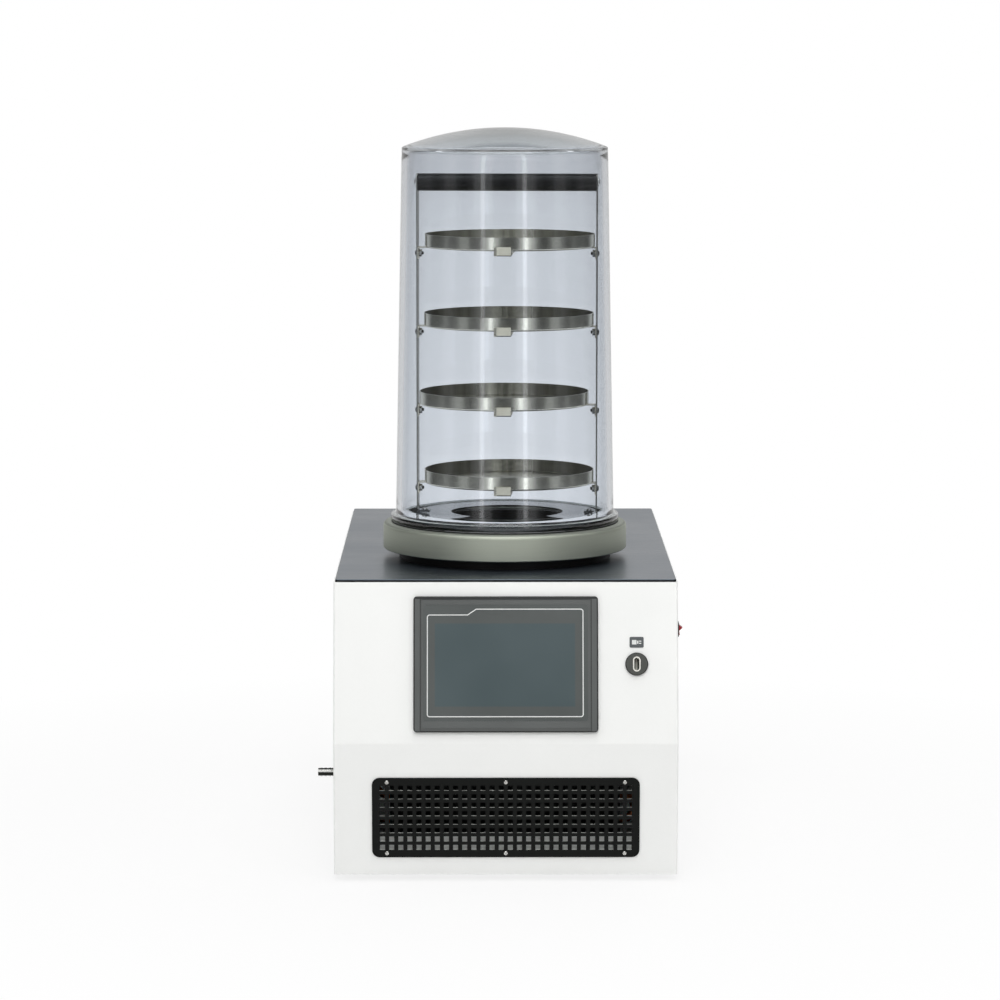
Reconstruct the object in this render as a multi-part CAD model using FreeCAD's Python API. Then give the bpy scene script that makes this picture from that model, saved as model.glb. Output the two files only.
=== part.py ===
"""Bench-top freeze dryer with a clear bell jar and a four-tray rack.

A sheet-metal cabinet holds the refrigeration set; a deep-drawn cold trap hangs from its
top plate through a turned base ring, and a tapered bell jar stands on the ring over a
rack of four round trays.  Every separate piece is one named node, written as parts/NODE.step.

Working frame (millimetres): X to the right, Y to the rear with the front fold at zero,
Z up from the lower edge of the cabinet.  At the end everything is moved so that the origin
is the centre of the whole outline, at the level on which the feet stand.
"""
import FreeCAD
import Part
import math
import os

Vec = FreeCAD.Vector
X_AXIS = Vec(1, 0, 0)
Y_AXIS = Vec(0, 1, 0)
Z_AXIS = Vec(0, 0, 1)
ORIGIN = Vec(0, 0, 0)
TINY = 0.01            # tolerance for finding edges by their position
QUARTER_ARC = 1 - math.sqrt(0.5)   # sagitta of a quarter circle as a share of its radius

# ---------------------------------------------------------------- clearances
SLIDE = 0.3            # gap between pieces that are lifted off or must not rub
RUN = 0.05             # radial running clearance of pins, shafts and pressed-in sleeves
HOLE = 0.15            # radial clearance of a screw in its hole

# ---------------------------------------------------------------- cabinet
WIDTH = 386.0          # across the side panels
FOLD_Z = 150.8         # height of the fold across the front
BODY_TOP = 328.3       # top of the panels, underside of the top plate
TOP_SETBACK = 36.8     # how far the upper front leans back at its top
BOTTOM_SETBACK = 11.6  # how far the lower front leans back at its bottom
DEPTH = 685.3          # from the fold to the outside of the rear panel
SHEET = 1.2            # thickness of the panels
RETURN_DEPTH = 14.0    # side, top and bottom returns of the front panel
FOLD_RADIUS = 6.0      # outside radius of the fold
CORNER_RADIUS = 2.5    # outside radius of the front panel's side bends
FLANGE = 12.0          # inward flanges of the side panels
PAN_SHEET = 1.5        # thickness of the base pan
PAN_RIM = 16.0         # height of its upturned rim
PAN_GAP = 2.0          # from the rim to the front panel
PAN_RAIL = 45.5        # height of the front rim, which stands behind the grille

PLATE_THICKNESS = 3.0
PLATE_INSET = 1.55     # from the side of the cabinet to the edge of the top plate
PLATE_EDGE_RADIUS = 1.3
PLATE_CORNER_RADIUS = 3.0

FOOT_HEIGHT = 8.0      # below the cabinet's lower edge
FOOT_RADIUS = 15.0
FOOT_TIP_RADIUS = 12.5
FOOT_INSET_X = 33.0    # foot axis from the side of the cabinet
FOOT_INSET_Y = 60.0    # foot axis from the front and rear lower edges

SIDE_VENTS = 8
VENT_PITCH = 12.0
VENT_LENGTH = 90.0
VENT_HEIGHT = 5.0
SIDE_VENT_Y = 470.0
SIDE_VENT_Z = 120.0
REAR_VENTS = 12
REAR_VENT_X = -60.0
REAR_VENT_Z = 150.0
REAR_SCREW_INSET = 6.0
REAR_SCREW_HEIGHTS = (20.0, 115.0, 215.0, 308.0)

LEAN_UP = math.degrees(math.atan2(TOP_SETBACK, BODY_TOP - FOLD_Z))
LEAN_DOWN = math.degrees(math.atan2(BOTTOM_SETBACK, FOLD_Z))
HALF_WIDTH = WIDTH / 2
PLATE_TOP = BODY_TOP + PLATE_THICKNESS
REAR_INSIDE = DEPTH - SHEET
SIDE_INSIDE = HALF_WIDTH - SHEET
FLOOR = SHEET + PAN_SHEET          # upper face of the base pan

# ---------------------------------------------------------------- grille
GRILLE_WIDTH = 300.0
GRILLE_HEIGHT = 92.0
GRILLE_RADIUS = 8.5
GRILLE_THICKNESS = 1.5
GRILLE_DOWN = 84.85    # from the fold down the slope to the middle of the grille
GRILLE_HOLE = 5.7
GRILLE_PITCH_X = 10.25
GRILLE_PITCH_Y = 9.82
GRILLE_COLUMNS = 28
GRILLE_ROWS = 8
GRILLE_SCREW_X = 133.3
GRILLE_SCREW_EDGE = 4.9            # screw axis from the long edges
INTAKE_MARGIN = 1.0                # front panel opening beyond the outermost holes
INTAKE_RADIUS = 4.0

# ---------------------------------------------------------------- screws
GRILLE_SCREW = dict(head_radius=2.4, head_height=1.9, radius=1.5, length=6.0)
PANEL_SCREW = dict(head_radius=3.6, head_height=2.4, radius=2.0, length=9.0)
SHELF_SCREW = dict(head_radius=3.4, head_height=2.6, radius=1.9, length=8.0)
HANDLE_SCREW = dict(head_radius=5.2, head_height=3.5, radius=2.5, length=13.0)
FOOT_SCREW = dict(head_radius=3.4, head_height=2.0, radius=1.9, length=6.0)

# ---------------------------------------------------------------- touch panel
PANEL_UP = 89.0        # from the fold up the slope to its middle
PANEL_WIDTH = 206.7
PANEL_HEIGHT = 152.2
PANEL_PROUD = 5.0
PANEL_RADIUS = 4.0
PANEL_EDGE = 1.5
GROOVE_SIDE = 8.0      # from the side edges to the groove
GROOVE_TOP = 3.4       # from the top and bottom edges to the groove
GROOVE_WIDTH = 0.9
GROOVE_DEPTH = 0.7
GLASS_WIDTH = 184.0
GLASS_HEIGHT = 130.0
GLASS_THICKNESS = 0.8
GLASS_RADIUS = 3.0
GLASS_UP = 90.5        # from the fold to the middle of the glass
HOUSING_WIDTH = 192.0
HOUSING_HEIGHT = 138.0
HOUSING_DEPTH = 30.0
HOUSING_RADIUS = 3.0
CLAMP_X = 62.0
CLAMP_WIDTH = 10.0
CLAMP_REACH = 8.0
CLAMP_BLOCK = 10.0
CLAMP_SCREW_RADIUS = 2.0
CLAMP_SCREW_LENGTH = 24.0
RIBS = 11              # cooling grooves in the back of the case
RIB_PITCH = 12.0
RIB_WIDTH = 6.0
RIB_LENGTH = 80.0
RIB_DEPTH = 1.5

# ---------------------------------------------------------------- USB socket
USB_X = 146.5
USB_UP = 89.2
USB_FLANGE_RADIUS = 12.9
USB_FLANGE_HEIGHT = 3.0
USB_FLANGE_EDGE = 1.0
USB_BARREL_RADIUS = 10.7
USB_BARREL_LENGTH = 18.0
USB_SHELL_WIDTH = 8.4
USB_SHELL_HEIGHT = 16.8
USB_SHELL_WALL = 1.3
USB_SHELL_DEPTH = 13.0
USB_SHELL_PROUD = 0.3
USB_TONGUE = 1.2
USB_NUT_ACROSS = 27.0
USB_NUT_HEIGHT = 5.0
LABEL_WIDTH = 15.8
LABEL_HEIGHT = 12.0
LABEL_THICKNESS = 0.5
LABEL_RADIUS = 1.5
LABEL_UP = 113.7

# ---------------------------------------------------------------- power switch
SWITCH_Y = 52.0
SWITCH_Z = 273.0
SWITCH_FRAME_WIDTH = 15.0
SWITCH_FRAME_HEIGHT = 16.4
SWITCH_FRAME_PROUD = 2.0
SWITCH_BODY_WIDTH = 13.0
SWITCH_BODY_HEIGHT = 15.2
SWITCH_BODY_DEPTH = 20.0
ROCKER_WIDTH = 10.8
ROCKER_END = 5.9       # half length at the pivot's level
ROCKER_PEAK = 6.91     # outward height of the raised ends
ROCKER_PEAK_Z = 4.4    # their place along the rocker
ROCKER_VALLEY = 4.6    # outward height of the middle
ROCKER_ROOT = 3.0      # depth behind the pivot
ROCKER_TILT = 20.0     # the half stroke to each side
PIVOT_INSIDE = 2.0     # pivot axis behind the side panel's outer face
PIVOT_RADIUS = 1.0
ROCKER_GAP = 0.3
TERMINAL_PITCH = 5.0
TERMINAL_LENGTH = 8.0
TERMINAL_WIDTH = 6.0
TERMINAL_THICKNESS = 0.8

# ---------------------------------------------------------------- bell jar
JAR_Y = 238.1          # common axis of the trap, the ring and the jar
JAR_TOP_RADIUS = 119.5
JAR_DRAFT = 7.8        # how much wider the jar is at its foot
JAR_HEIGHT = 434.0     # from its lower face to the shoulder
JAR_WALL = 6.5
JAR_RISE = 22.5        # of the domed roof
JAR_ROOT_RADIUS = 3.0
JAR_FLANGE_WIDTH = 5.4
JAR_FLANGE_HEIGHT = 8.0
JAR_BOTTOM_RADIUS = JAR_TOP_RADIUS + JAR_DRAFT
JAR_FLANGE_RADIUS = JAR_BOTTOM_RADIUS + JAR_FLANGE_WIDTH
JAR_INSIDE_TOP = JAR_TOP_RADIUS - JAR_WALL

# ---------------------------------------------------------------- rack and trays
RACK_X = 2.5           # the rack stands a little to the right of the axis
RACK_TURN = -3.3       # and a little turned about it
RACK_GAP = 7.7         # from the jar's inside at its shoulder to the uprights
UPRIGHT_OUTSIDE = JAR_INSIDE_TOP - RACK_GAP
UPRIGHT_SHEET = 1.5
UPRIGHT_WIDTH = 16.0
UPRIGHT_FOOT = 15.0
DISC_RADIUS = UPRIGHT_OUTSIDE - 0.2
DISC_BORE = 65.3
DISC_THICKNESS = 2.0
DISC_FOOT_HEIGHT = 8.2
DISC_FOOT_RADIUS = 5.0
DISC_FOOT_INSET = 6.6
DISC_FOOT_CIRCLE = DISC_RADIUS - DISC_FOOT_INSET
HANDLE_DROP = 40.8     # handle axis below the jar's shoulder
HANDLE_RADIUS = 10.1
HANDLE_CHAMFER = 0.5
TRAYS = 4
TRAY_GAP = 6.6         # from a centred tray to the outside of the uprights
TRAY_RADIUS = UPRIGHT_OUTSIDE - TRAY_GAP
TRAY_HEIGHT = 15.5
TRAY_SHEET = 1.0
TRAY_CORNER = 2.0
TRAY_RIM_FIRST = 61.4  # rim of the lowest tray above the ring
TRAY_RIM_LAST = 59.1   # rim of the highest tray below the handle's axis
TRAY_SHIFTS = (2.6, -3.2, 2.3, 3.4)  # where each tray lies on its shelf, lowest first
SHELF_SHEET = 1.2
SHELF_BAR = 19.0       # width of the channel
SHELF_DROP = 5.5       # depth of the channel's sides
SHELF_LIP = 4.7        # height of the end stops above the shelf
SHELF_REACH = TRAY_RADIUS + 1.8    # from the axis to the outside of the end stops
SHELF_TAB = 14.0       # length of the ends bent down along the uprights
SHELF_SCREW_DROP = 7.5
NUT_ACROSS = 7.0
NUT_HEIGHT = 3.2

# ---------------------------------------------------------------- base ring and cold trap
SEAL_THICKNESS = 1.5
SEAL_LIP = 2.0
SEAL_LIP_HEIGHT = 6.0
RING_SHOULDER = 9.4    # from the jar's flange to the side of the ring
RING_RADIUS = JAR_FLANGE_RADIUS + RING_SHOULDER
RING_HEIGHT = 30.5
RING_EDGE_RADIUS = 5.0
COLLAR_STEP = 18.8     # from the side of the ring to the side of the collar
COLLAR_RADIUS = RING_RADIUS - COLLAR_STEP
COLLAR_HEIGHT = 11.0
TRAP_RADIUS = DISC_FOOT_CIRCLE - DISC_FOOT_RADIUS + 0.5
TRAP_WALL = 1.5
TRAP_DEPTH = 170.0     # below the top of the ring
TRAP_CORNER = 12.0
TRAP_FLANGE = TRAP_RADIUS + 11.5
COLLAR_BORE = TRAP_RADIUS + TRAP_WALL + 3.0
COIL_TUBE = 4.75       # radius of the evaporator tube
COIL_TURNS = 4
COIL_PITCH = 15.0
COIL_START = 22.0      # above the trap's bottom
COIL_FIRST_TURN = 320  # degrees of the lowest turn, which the tail leaves
RISER_STEP = 27        # degrees between the risers from turn to turn
FOAM_WALL = 24.4
FOAM_BASE = 28.0       # below the trap

RING_BOTTOM = PLATE_TOP + COLLAR_HEIGHT
RING_TOP = RING_BOTTOM + RING_HEIGHT
JAR_BOTTOM = RING_TOP + SEAL_THICKNESS
HANDLE_Z = SEAL_THICKNESS + JAR_HEIGHT - HANDLE_DROP  # above the ring
TRAY_PITCH = (HANDLE_Z - TRAY_RIM_LAST - TRAY_RIM_FIRST) / (TRAYS - 1)
TRAP_OUTSIDE = TRAP_RADIUS + TRAP_WALL
TRAP_BOTTOM = RING_TOP - TRAP_DEPTH - TRAP_WALL
COIL_RADIUS = TRAP_OUTSIDE + COIL_TUBE + SLIDE
FOAM_BORE = COIL_RADIUS + COIL_TUBE + SLIDE
FOAM_RADIUS = FOAM_BORE + FOAM_WALL

# ---------------------------------------------------------------- drain
NOZZLE_Y = 60.0
NOZZLE_Z = 107.7
NOZZLE_LENGTH = 19.3
NOZZLE_RADIUS = 5.0
NOZZLE_BORE = 3.2
NOZZLE_ROOT = 4.4      # between the barbs
NOZZLE_FLANGE_RADIUS = 7.5
NOZZLE_FLANGE = 1.4
NOZZLE_INSIDE = 20.0
DRAIN_TUBE_RADIUS = 6.5
DRAIN_X = -50.0
SPIGOT_INSET = 7.9     # from the trap's side to the spigot's axis
SPIGOT_RADIUS = 4.5
SPIGOT_LENGTH = 24.0
DRAIN_NUT_ACROSS = 16.0
DRAIN_NUT_HEIGHT = 5.0
DRAIN_TUBE_BEND = 26.0
DRAIN_Y = JAR_Y - math.sqrt((TRAP_RADIUS - SPIGOT_INSET) ** 2 - DRAIN_X ** 2)
DRAIN_TUBE_DROP = -73.3            # first turn, from the trap's bottom
DRAIN_TUBE_MIDDLE = (-118.0, 84.0)  # second turn, level with the barb
DRAIN_TUBE_END = -150.0            # start of the straight end

# ---------------------------------------------------------------- vacuum line
VACUUM_DROP = 24.0     # pipe axis below the top plate
VACUUM_RADIUS = 14.0
VACUUM_WALL = 1.5
PORT_FLANGE_RADIUS = 20.0
PORT_FLANGE_THICKNESS = 3.0
PORT_LENGTH = 20.0
PORT_PLATE = 44.0
PORT_PLATE_THICKNESS = 2.0
PORT_PLATE_RADIUS = 4.0
PORT_TAPER = 2.5       # cone behind the port's flange

# ---------------------------------------------------------------- refrigeration set
CONDENSER_Y = 214.0
CONDENSER_WIDTH = 270.0
CONDENSER_HEIGHT = 146.0
CONDENSER_DEPTH = 44.0
CONDENSER_FINS = 34
FIN_SHARE = 0.35       # of the pitch that is metal
FIN_GROOVE = 10.0
CONDENSER_TUBE = 4.75
CONDENSER_ROWS = 5
SHROUD_DEPTH = 26.0
SHROUD_SHEET = 1.0
FAN_RADIUS = 64.0
FAN_TIP_GAP = 3.0
FAN_HUB_RADIUS = 20.0
FAN_HUB_LENGTH = 16.0
FAN_BLADES = 5
FAN_BLADE_PITCH = 32.0
FAN_BLADE_THICKNESS = 1.6
FAN_SHAFT_RADIUS = 3.0
FAN_SETBACK = 8.0      # front of the hub inside the shroud's rear face
BLADE_ROOT_CHORD = 22.0
BLADE_TIP_CHORD = 40.0
BLADE_CAMBER = 0.08    # share of the chord
DUCT_DEPTH = 10.0
MOTOR_RADIUS = 31.0
MOTOR_LENGTH = 46.0
MOTOR_EDGE = 4.0
MOTOR_GAP = 4.0        # from the hub to the motor
BRACKET_WIDTH = 14.0
BRACKET_SHEET = 2.0
BRACKET_REACH = 6.0    # beyond the fan's duct
COMPRESSOR_X = -45.0
COMPRESSOR_Y = 470.0
COMPRESSOR_RADIUS = 76.0
COMPRESSOR_HEIGHT = 186.0
SEAM_SHARE = 0.52      # height of the welded seam as a share of the can
SEAM_LIP = 3.0
SEAM_HEIGHT = 4.0
LID_STEP = 1.5         # the upper shell is this much smaller
DOME_INSET = 34.0      # rounded shoulder of the upper shell
DOME_RISE = 4.0
FOOT_ROUND = 24.0      # rounded lower edge of the can
FOOT_INSET = 18.0
COMPRESSOR_PLATE = 3.0
COMPRESSOR_PLATE_X = 176.0
COMPRESSOR_PLATE_Y = 128.0
MOUNT_HEIGHT = 14.0
MOUNT_RADIUS = 12.0
MOUNT_LIP = 3.0        # collars at the grommet's ends, and how deep its waist is
MOUNT_STUD = 3.5
MOUNT_BORE = 4.0
PIPE_RADIUS = 4.0
SUCTION_RADIUS = 5.0
BEND_RADIUS = 14.0
STUB_REACH = 2.0       # compressor stubs beyond the can
DISCHARGE_X = 40.0     # discharge stub from the compressor's axis
SUCTION_X = -30.0      # suction stub from the compressor's axis
SUCTION_Y = -20.0
PIPE_SIDE = 25.0       # bent lines beyond the ends of the fin block
DRIER_Y = 330.0
DRIER_BOTTOM = 46.0
DRIER_RADIUS = 15.0
DRIER_LENGTH = 92.0
DRIER_NECK = 12.0
CAPILLARY_RADIUS = 1.5
BOX_WIDTH = 130.0
BOX_HEIGHT = 150.0
BOX_DEPTH = 90.0
BOX_X = 104.0
BOX_Z = 96.0
INLET_X = 128.0
INLET_Z = 52.0
INLET_WIDTH = 50.0
INLET_HEIGHT = 28.0
INLET_FLANGE = 3.0
INLET_WALL = 2.8
INLET_DEPTH = 20.0
RECESS_WIDTH = 24.4
RECESS_HEIGHT = 16.4
RECESS_CORNER = 4.0
RECESS_DEPTH = 16.0
BLADE_PLACES = ((-7.0, 1.5), (0.0, -2.5), (7.0, 1.5))
BLADE_WIDTH = 2.0
BLADE_HEIGHT = 4.0
BLADE_SETBACK = 2.0    # tips of the blades behind the rear panel's face
LID_LIP = 1.5          # control box
LID_DEPTH = 10.0


# ================================================================ helpers
def box(x0, x1, y0, y1, z0, z1):
    """Rectangular solid between two corners."""
    return Part.makeBox(x1 - x0, y1 - y0, z1 - z0, Vec(x0, y0, z0))


def cylinder(radius, start, direction, length):
    """Solid round bar from a start point."""
    return Part.makeCylinder(radius, length, start, direction)


def tube(outer, inner, start, direction, length):
    """Round tube from a start point."""
    return cylinder(outer, start, direction, length).cut(cylinder(inner, start, direction, length))


def edges_along(shape, direction):
    """The shape's straight edges that run along a direction."""
    return [edge for edge in shape.Edges
            if abs(edge.tangentAt(edge.FirstParameter).dot(direction)) > 1 - TINY]


def polygon_face(points):
    """Planar face through corner points."""
    return Part.Face(Part.makePolygon(list(points) + [points[0]]))


def side_prism(profile, x0, x1):
    """Solid between two X values with a (y, z) section."""
    return polygon_face([Vec(x0, y, z) for y, z in profile]).extrude(Vec(x1 - x0, 0, 0))


def rounded_plate(width, height, radius, z0, z1, centre=(0.0, 0.0)):
    """Plate with rounded corners, lying in the XY plane."""
    cx, cy = centre
    plate = box(cx - width / 2, cx + width / 2, cy - height / 2, cy + height / 2, z0, z1)
    return plate.makeFillet(radius, edges_along(plate, Z_AXIS))


def obround(width, height, z0, z1, centre=(0.0, 0.0)):
    """Slot-shaped solid, longer along Y, with half-round ends."""
    cx, cy = centre
    radius = width / 2
    half = height / 2 - radius
    body = box(cx - radius, cx + radius, cy - half, cy + half, z0, z1)
    for end in (-half, half):
        body = body.fuse(cylinder(radius, Vec(cx, cy + end, z0), Z_AXIS, z1 - z0))
    return body.removeSplitter()


def hexagon(across, height, bore):
    """Hexagonal nut standing on the XY plane."""
    corner = across / math.sqrt(3)
    angles = [k * math.pi / 3 for k in range(6)]
    points = [Vec(corner * math.cos(a), corner * math.sin(a), 0) for a in angles]
    return polygon_face(points).extrude(Vec(0, 0, height)).cut(cylinder(bore, ORIGIN, Z_AXIS, height))


def turned(outline):
    """Solid of revolution about Z; the outline is a closed list of (radius, z) points, where a third
    value on a point is the sagitta of an arc to the next one."""
    edges = []
    for index, point in enumerate(outline):
        following = outline[(index + 1) % len(outline)]
        a = Vec(point[0], 0, point[1])
        b = Vec(following[0], 0, following[1])
        if len(point) == 3:
            along = (b - a).normalize()
            middle = (a + b) * 0.5 + Vec(along.z, 0, -along.x) * point[2]
            edges.append(Part.Arc(a, middle, b).toShape())
        else:
            edges.append(Part.makeLine(a, b))
    face = Part.Face(Part.Wire(edges))
    solid = face.revolve(ORIGIN, Z_AXIS, 360)
    return solid if solid.Volume > 0 else solid.reversed()


def pan_screw(head_radius, head_height, radius, length):
    """Screw with a domed head above the XY plane and its shank below."""
    brim = head_height * 0.35
    chord = math.hypot(head_radius - head_radius * 0.45, head_height - brim)
    return turned([(0, -length), (radius, -length), (radius, 0), (head_radius, 0),
                   (head_radius, brim, chord * 0.16), (head_radius * 0.45, head_height), (0, head_height)])


def bent_tube(points, bend_radius, outer, inner=0.0):
    """Tube along straight runs joined by tangent arcs of one radius."""
    nodes = [Vec(*p) for p in points]
    pieces = []
    start = nodes[0]
    for index in range(1, len(nodes) - 1):
        before = (nodes[index] - nodes[index - 1]).normalize()
        after = (nodes[index + 1] - nodes[index]).normalize()
        turn = before.getAngle(after)
        trim = bend_radius * math.tan(turn / 2)
        arc_start = nodes[index] - before * trim
        if arc_start.distanceToPoint(start) > TINY:
            pieces.append(run_of_tube(start, arc_start, outer, inner))
        axis = before.cross(after).normalize()
        centre = arc_start + axis.cross(before) * bend_radius
        section = section_face(arc_start, before, outer, inner)
        pieces.append(section.revolve(centre, axis, math.degrees(turn)))
        start = nodes[index] + after * trim
    pieces.append(run_of_tube(start, nodes[-1], outer, inner))
    whole = pieces[0].fuse(pieces[1:]) if len(pieces) > 1 else pieces[0]
    return whole.removeSplitter()


def section_face(at, direction, outer, inner):
    """Round or ring-shaped face across a direction."""
    rim = Part.Wire(Part.makeCircle(outer, at, direction))
    if inner <= 0:
        return Part.Face(rim)
    return Part.Face(rim).cut(Part.Face(Part.Wire(Part.makeCircle(inner, at, direction)))).Faces[0]


def run_of_tube(start, end, outer, inner):
    """Straight stretch of a tube."""
    return section_face(start, end - start, outer, inner).extrude(end - start)


def front_frame(up_slope):
    """Placement of a front face: X right, Y up the slope from the fold, Z outward."""
    angle = 90 - LEAN_UP if up_slope else 90 + LEAN_DOWN
    return FreeCAD.Placement(Vec(0, 0, FOLD_Z), FreeCAD.Rotation(X_AXIS, angle))


def placed(shape, placement):
    """The shape moved from a local frame into the working frame."""
    moved = shape.copy()
    moved.Placement = placement.multiply(moved.Placement)
    return moved


def on_upper(shape):
    """From the upper front's frame into the working frame."""
    return placed(shape, front_frame(True))


def on_lower(shape):
    """From the lower front's frame into the working frame."""
    return placed(shape, front_frame(False))


def moved_to(shape, x, y, z):
    """A translated copy."""
    return placed(shape, FreeCAD.Placement(Vec(x, y, z), FreeCAD.Rotation()))


def on_axis(shape):
    """From the chamber's own axis, with Z in the working frame, to its place."""
    return moved_to(shape, 0, JAR_Y, 0)


def in_rack(shape):
    """From the rack's frame, on its axis at the top of the ring, into the working frame."""
    place = FreeCAD.Placement(Vec(RACK_X, JAR_Y, RING_TOP), FreeCAD.Rotation(Z_AXIS, RACK_TURN))
    return placed(shape, place)


def outward(shape, side, x, y, z):
    """A shape built along +Z, laid along +X (side 1) or -X (side -1) at a point."""
    return placed(shape, FreeCAD.Placement(Vec(x, y, z), FreeCAD.Rotation(Y_AXIS, 90 * side)))


def rearward(shape, x, y, z):
    """A shape built along +Z, laid along +Y at a point."""
    return placed(shape, FreeCAD.Placement(Vec(x, y, z), FreeCAD.Rotation(X_AXIS, -90)))


def front_line(z):
    """Y of the front's outer face at a height."""
    if z > FOLD_Z:
        return TOP_SETBACK * (z - FOLD_Z) / (BODY_TOP - FOLD_Z)
    return BOTTOM_SETBACK * (FOLD_Z - z) / FOLD_Z


def front_profile(offset, bottom=0.0, top=BODY_TOP):
    """Top, fold and bottom points (y, z) of the front, moved back by an offset."""
    return [(front_line(z) + offset, z) for z in (top, FOLD_Z, bottom)]


# ================================================================ cabinet
def grille_grid():
    """Centres of the grille's holes in the lower front's frame."""
    for column in range(GRILLE_COLUMNS):
        for row in range(GRILLE_ROWS):
            x = (column - (GRILLE_COLUMNS - 1) / 2) * GRILLE_PITCH_X
            y = -GRILLE_DOWN + (row - (GRILLE_ROWS - 1) / 2) * GRILLE_PITCH_Y
            yield x, y


def grille_screw_places():
    """Two rows of three screws."""
    reach = GRILLE_HEIGHT / 2 - GRILLE_SCREW_EDGE
    return [(x, -GRILLE_DOWN + y) for y in (-reach, reach) for x in (-GRILLE_SCREW_X, 0.0, GRILLE_SCREW_X)]


def front_panel():
    """One folded sheet with side, top and bottom returns and its cut-outs."""
    front = front_profile(0)
    back = front_profile(RETURN_DEPTH)
    block = side_prism(front + back[::-1], -HALF_WIDTH, HALF_WIDTH)
    fold = [e for e in block.Edges if abs(e.CenterOfMass.y) < TINY and abs(e.CenterOfMass.x) < TINY]
    block = block.makeFillet(FOLD_RADIUS, fold)
    corners = [e for e in block.Edges if is_front_corner(e)]
    block = block.makeFillet(CORNER_RADIUS, corners)
    skin = SHEET / math.cos(math.radians(LEAN_UP))
    inner_front = front_profile(skin, SHEET, BODY_TOP - SHEET)
    inner_back = front_profile(RETURN_DEPTH + 1, SHEET, BODY_TOP - SHEET)
    hollow = side_prism(inner_front + inner_back[::-1], -SIDE_INSIDE, SIDE_INSIDE)
    return block.cut(hollow).cut(front_openings())


def front_openings():
    """Cut-outs of the front panel for the case, the data socket, the air and the grille's screws."""
    low, high = -2 * SHEET, SHEET
    case = rounded_plate(HOUSING_WIDTH + 2 * SLIDE, HOUSING_HEIGHT + 2 * SLIDE, HOUSING_RADIUS, low, high,
                         (0, PANEL_UP))
    barrel = cylinder(USB_BARREL_RADIUS + SLIDE, Vec(USB_X, USB_UP, low), Z_AXIS, high - low)
    intake = rounded_plate(intake_width(), intake_height(), INTAKE_RADIUS, low, high, (0, -GRILLE_DOWN))
    bores = [cylinder(GRILLE_SCREW["radius"] + HOLE, Vec(x, y, low), Z_AXIS, high - low)
             for x, y in grille_screw_places()]
    return [on_upper(case), on_upper(barrel), on_lower(intake)] + [on_lower(bore) for bore in bores]


def is_front_corner(edge):
    """Whether an edge runs down the front at either side of the front panel."""
    middle = edge.CenterOfMass
    return abs(abs(middle.x) - HALF_WIDTH) < TINY and abs(middle.y - front_line(middle.z)) < FOLD_RADIUS / 3


def intake_width():
    """Opening of the front panel behind the grille."""
    return (GRILLE_COLUMNS - 1) * GRILLE_PITCH_X + GRILLE_HOLE + 2 * INTAKE_MARGIN


def intake_height():
    """Height of the same opening, along the slope."""
    return (GRILLE_ROWS - 1) * GRILLE_PITCH_Y + GRILLE_HOLE + 2 * INTAKE_MARGIN


def slot_bank(count, pitch, length, height):
    """Row of round-ended slots along Z, cut through a sheet that lies in the YZ plane."""
    slots = []
    for index in range(count):
        centre = (index - (count - 1) / 2) * pitch
        slot = obround(height, length, -2 * SHEET, 2 * SHEET)
        slots.append(placed(slot, FreeCAD.Placement(Vec(0, 0, centre), FreeCAD.Rotation(Y_AXIS, 90))))
    return Part.makeCompound(slots)


def side_panel(side):
    """Flat sheet behind the front panel with inward flanges at top, bottom and rear."""
    front = front_profile(RETURN_DEPTH + SLIDE)
    outline = front + [(REAR_INSIDE, 0), (REAR_INSIDE, BODY_TOP)]
    inner_front = front_profile(RETURN_DEPTH - 1, SHEET, BODY_TOP - SHEET)
    hollow_outline = inner_front + [(REAR_INSIDE - SHEET, SHEET), (REAR_INSIDE - SHEET, BODY_TOP - SHEET)]
    block = side_prism(outline, SIDE_INSIDE + SHEET - FLANGE, HALF_WIDTH)
    panel = block.cut(side_prism(hollow_outline, 0, SIDE_INSIDE))
    vents = slot_bank(SIDE_VENTS, VENT_PITCH, VENT_LENGTH, VENT_HEIGHT)
    panel = panel.cut(moved_to(vents, HALF_WIDTH, SIDE_VENT_Y, SIDE_VENT_Z))
    if side > 0:
        return panel.cut(switch_opening()).cut(rear_screw_bores(side))
    panel = panel.mirror(ORIGIN, X_AXIS)
    bore = cylinder(NOZZLE_RADIUS + HOLE, Vec(-HALF_WIDTH - SHEET, NOZZLE_Y, NOZZLE_Z), X_AXIS, 3 * SHEET)
    return panel.cut(bore).cut(rear_screw_bores(side))


def switch_opening():
    """Cut-out of the right side panel for the switch's body."""
    half_width = SWITCH_BODY_WIDTH / 2 + HOLE
    half_height = SWITCH_BODY_HEIGHT / 2 + HOLE
    return box(SIDE_INSIDE - SHEET, HALF_WIDTH + SHEET, SWITCH_Y - half_width, SWITCH_Y + half_width,
               SWITCH_Z - half_height, SWITCH_Z + half_height)


def rear_screw_places(side):
    """Screws down one side of the rear panel."""
    return [(side * (HALF_WIDTH - REAR_SCREW_INSET), z) for z in REAR_SCREW_HEIGHTS]


def rear_screw_bores(side):
    """Their holes, through the panel and the flange behind it."""
    radius = PANEL_SCREW["radius"] + HOLE
    return [cylinder(radius, Vec(x, REAR_INSIDE - 2 * SHEET, z), Y_AXIS, 4 * SHEET)
            for x, z in rear_screw_places(side)]


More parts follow.
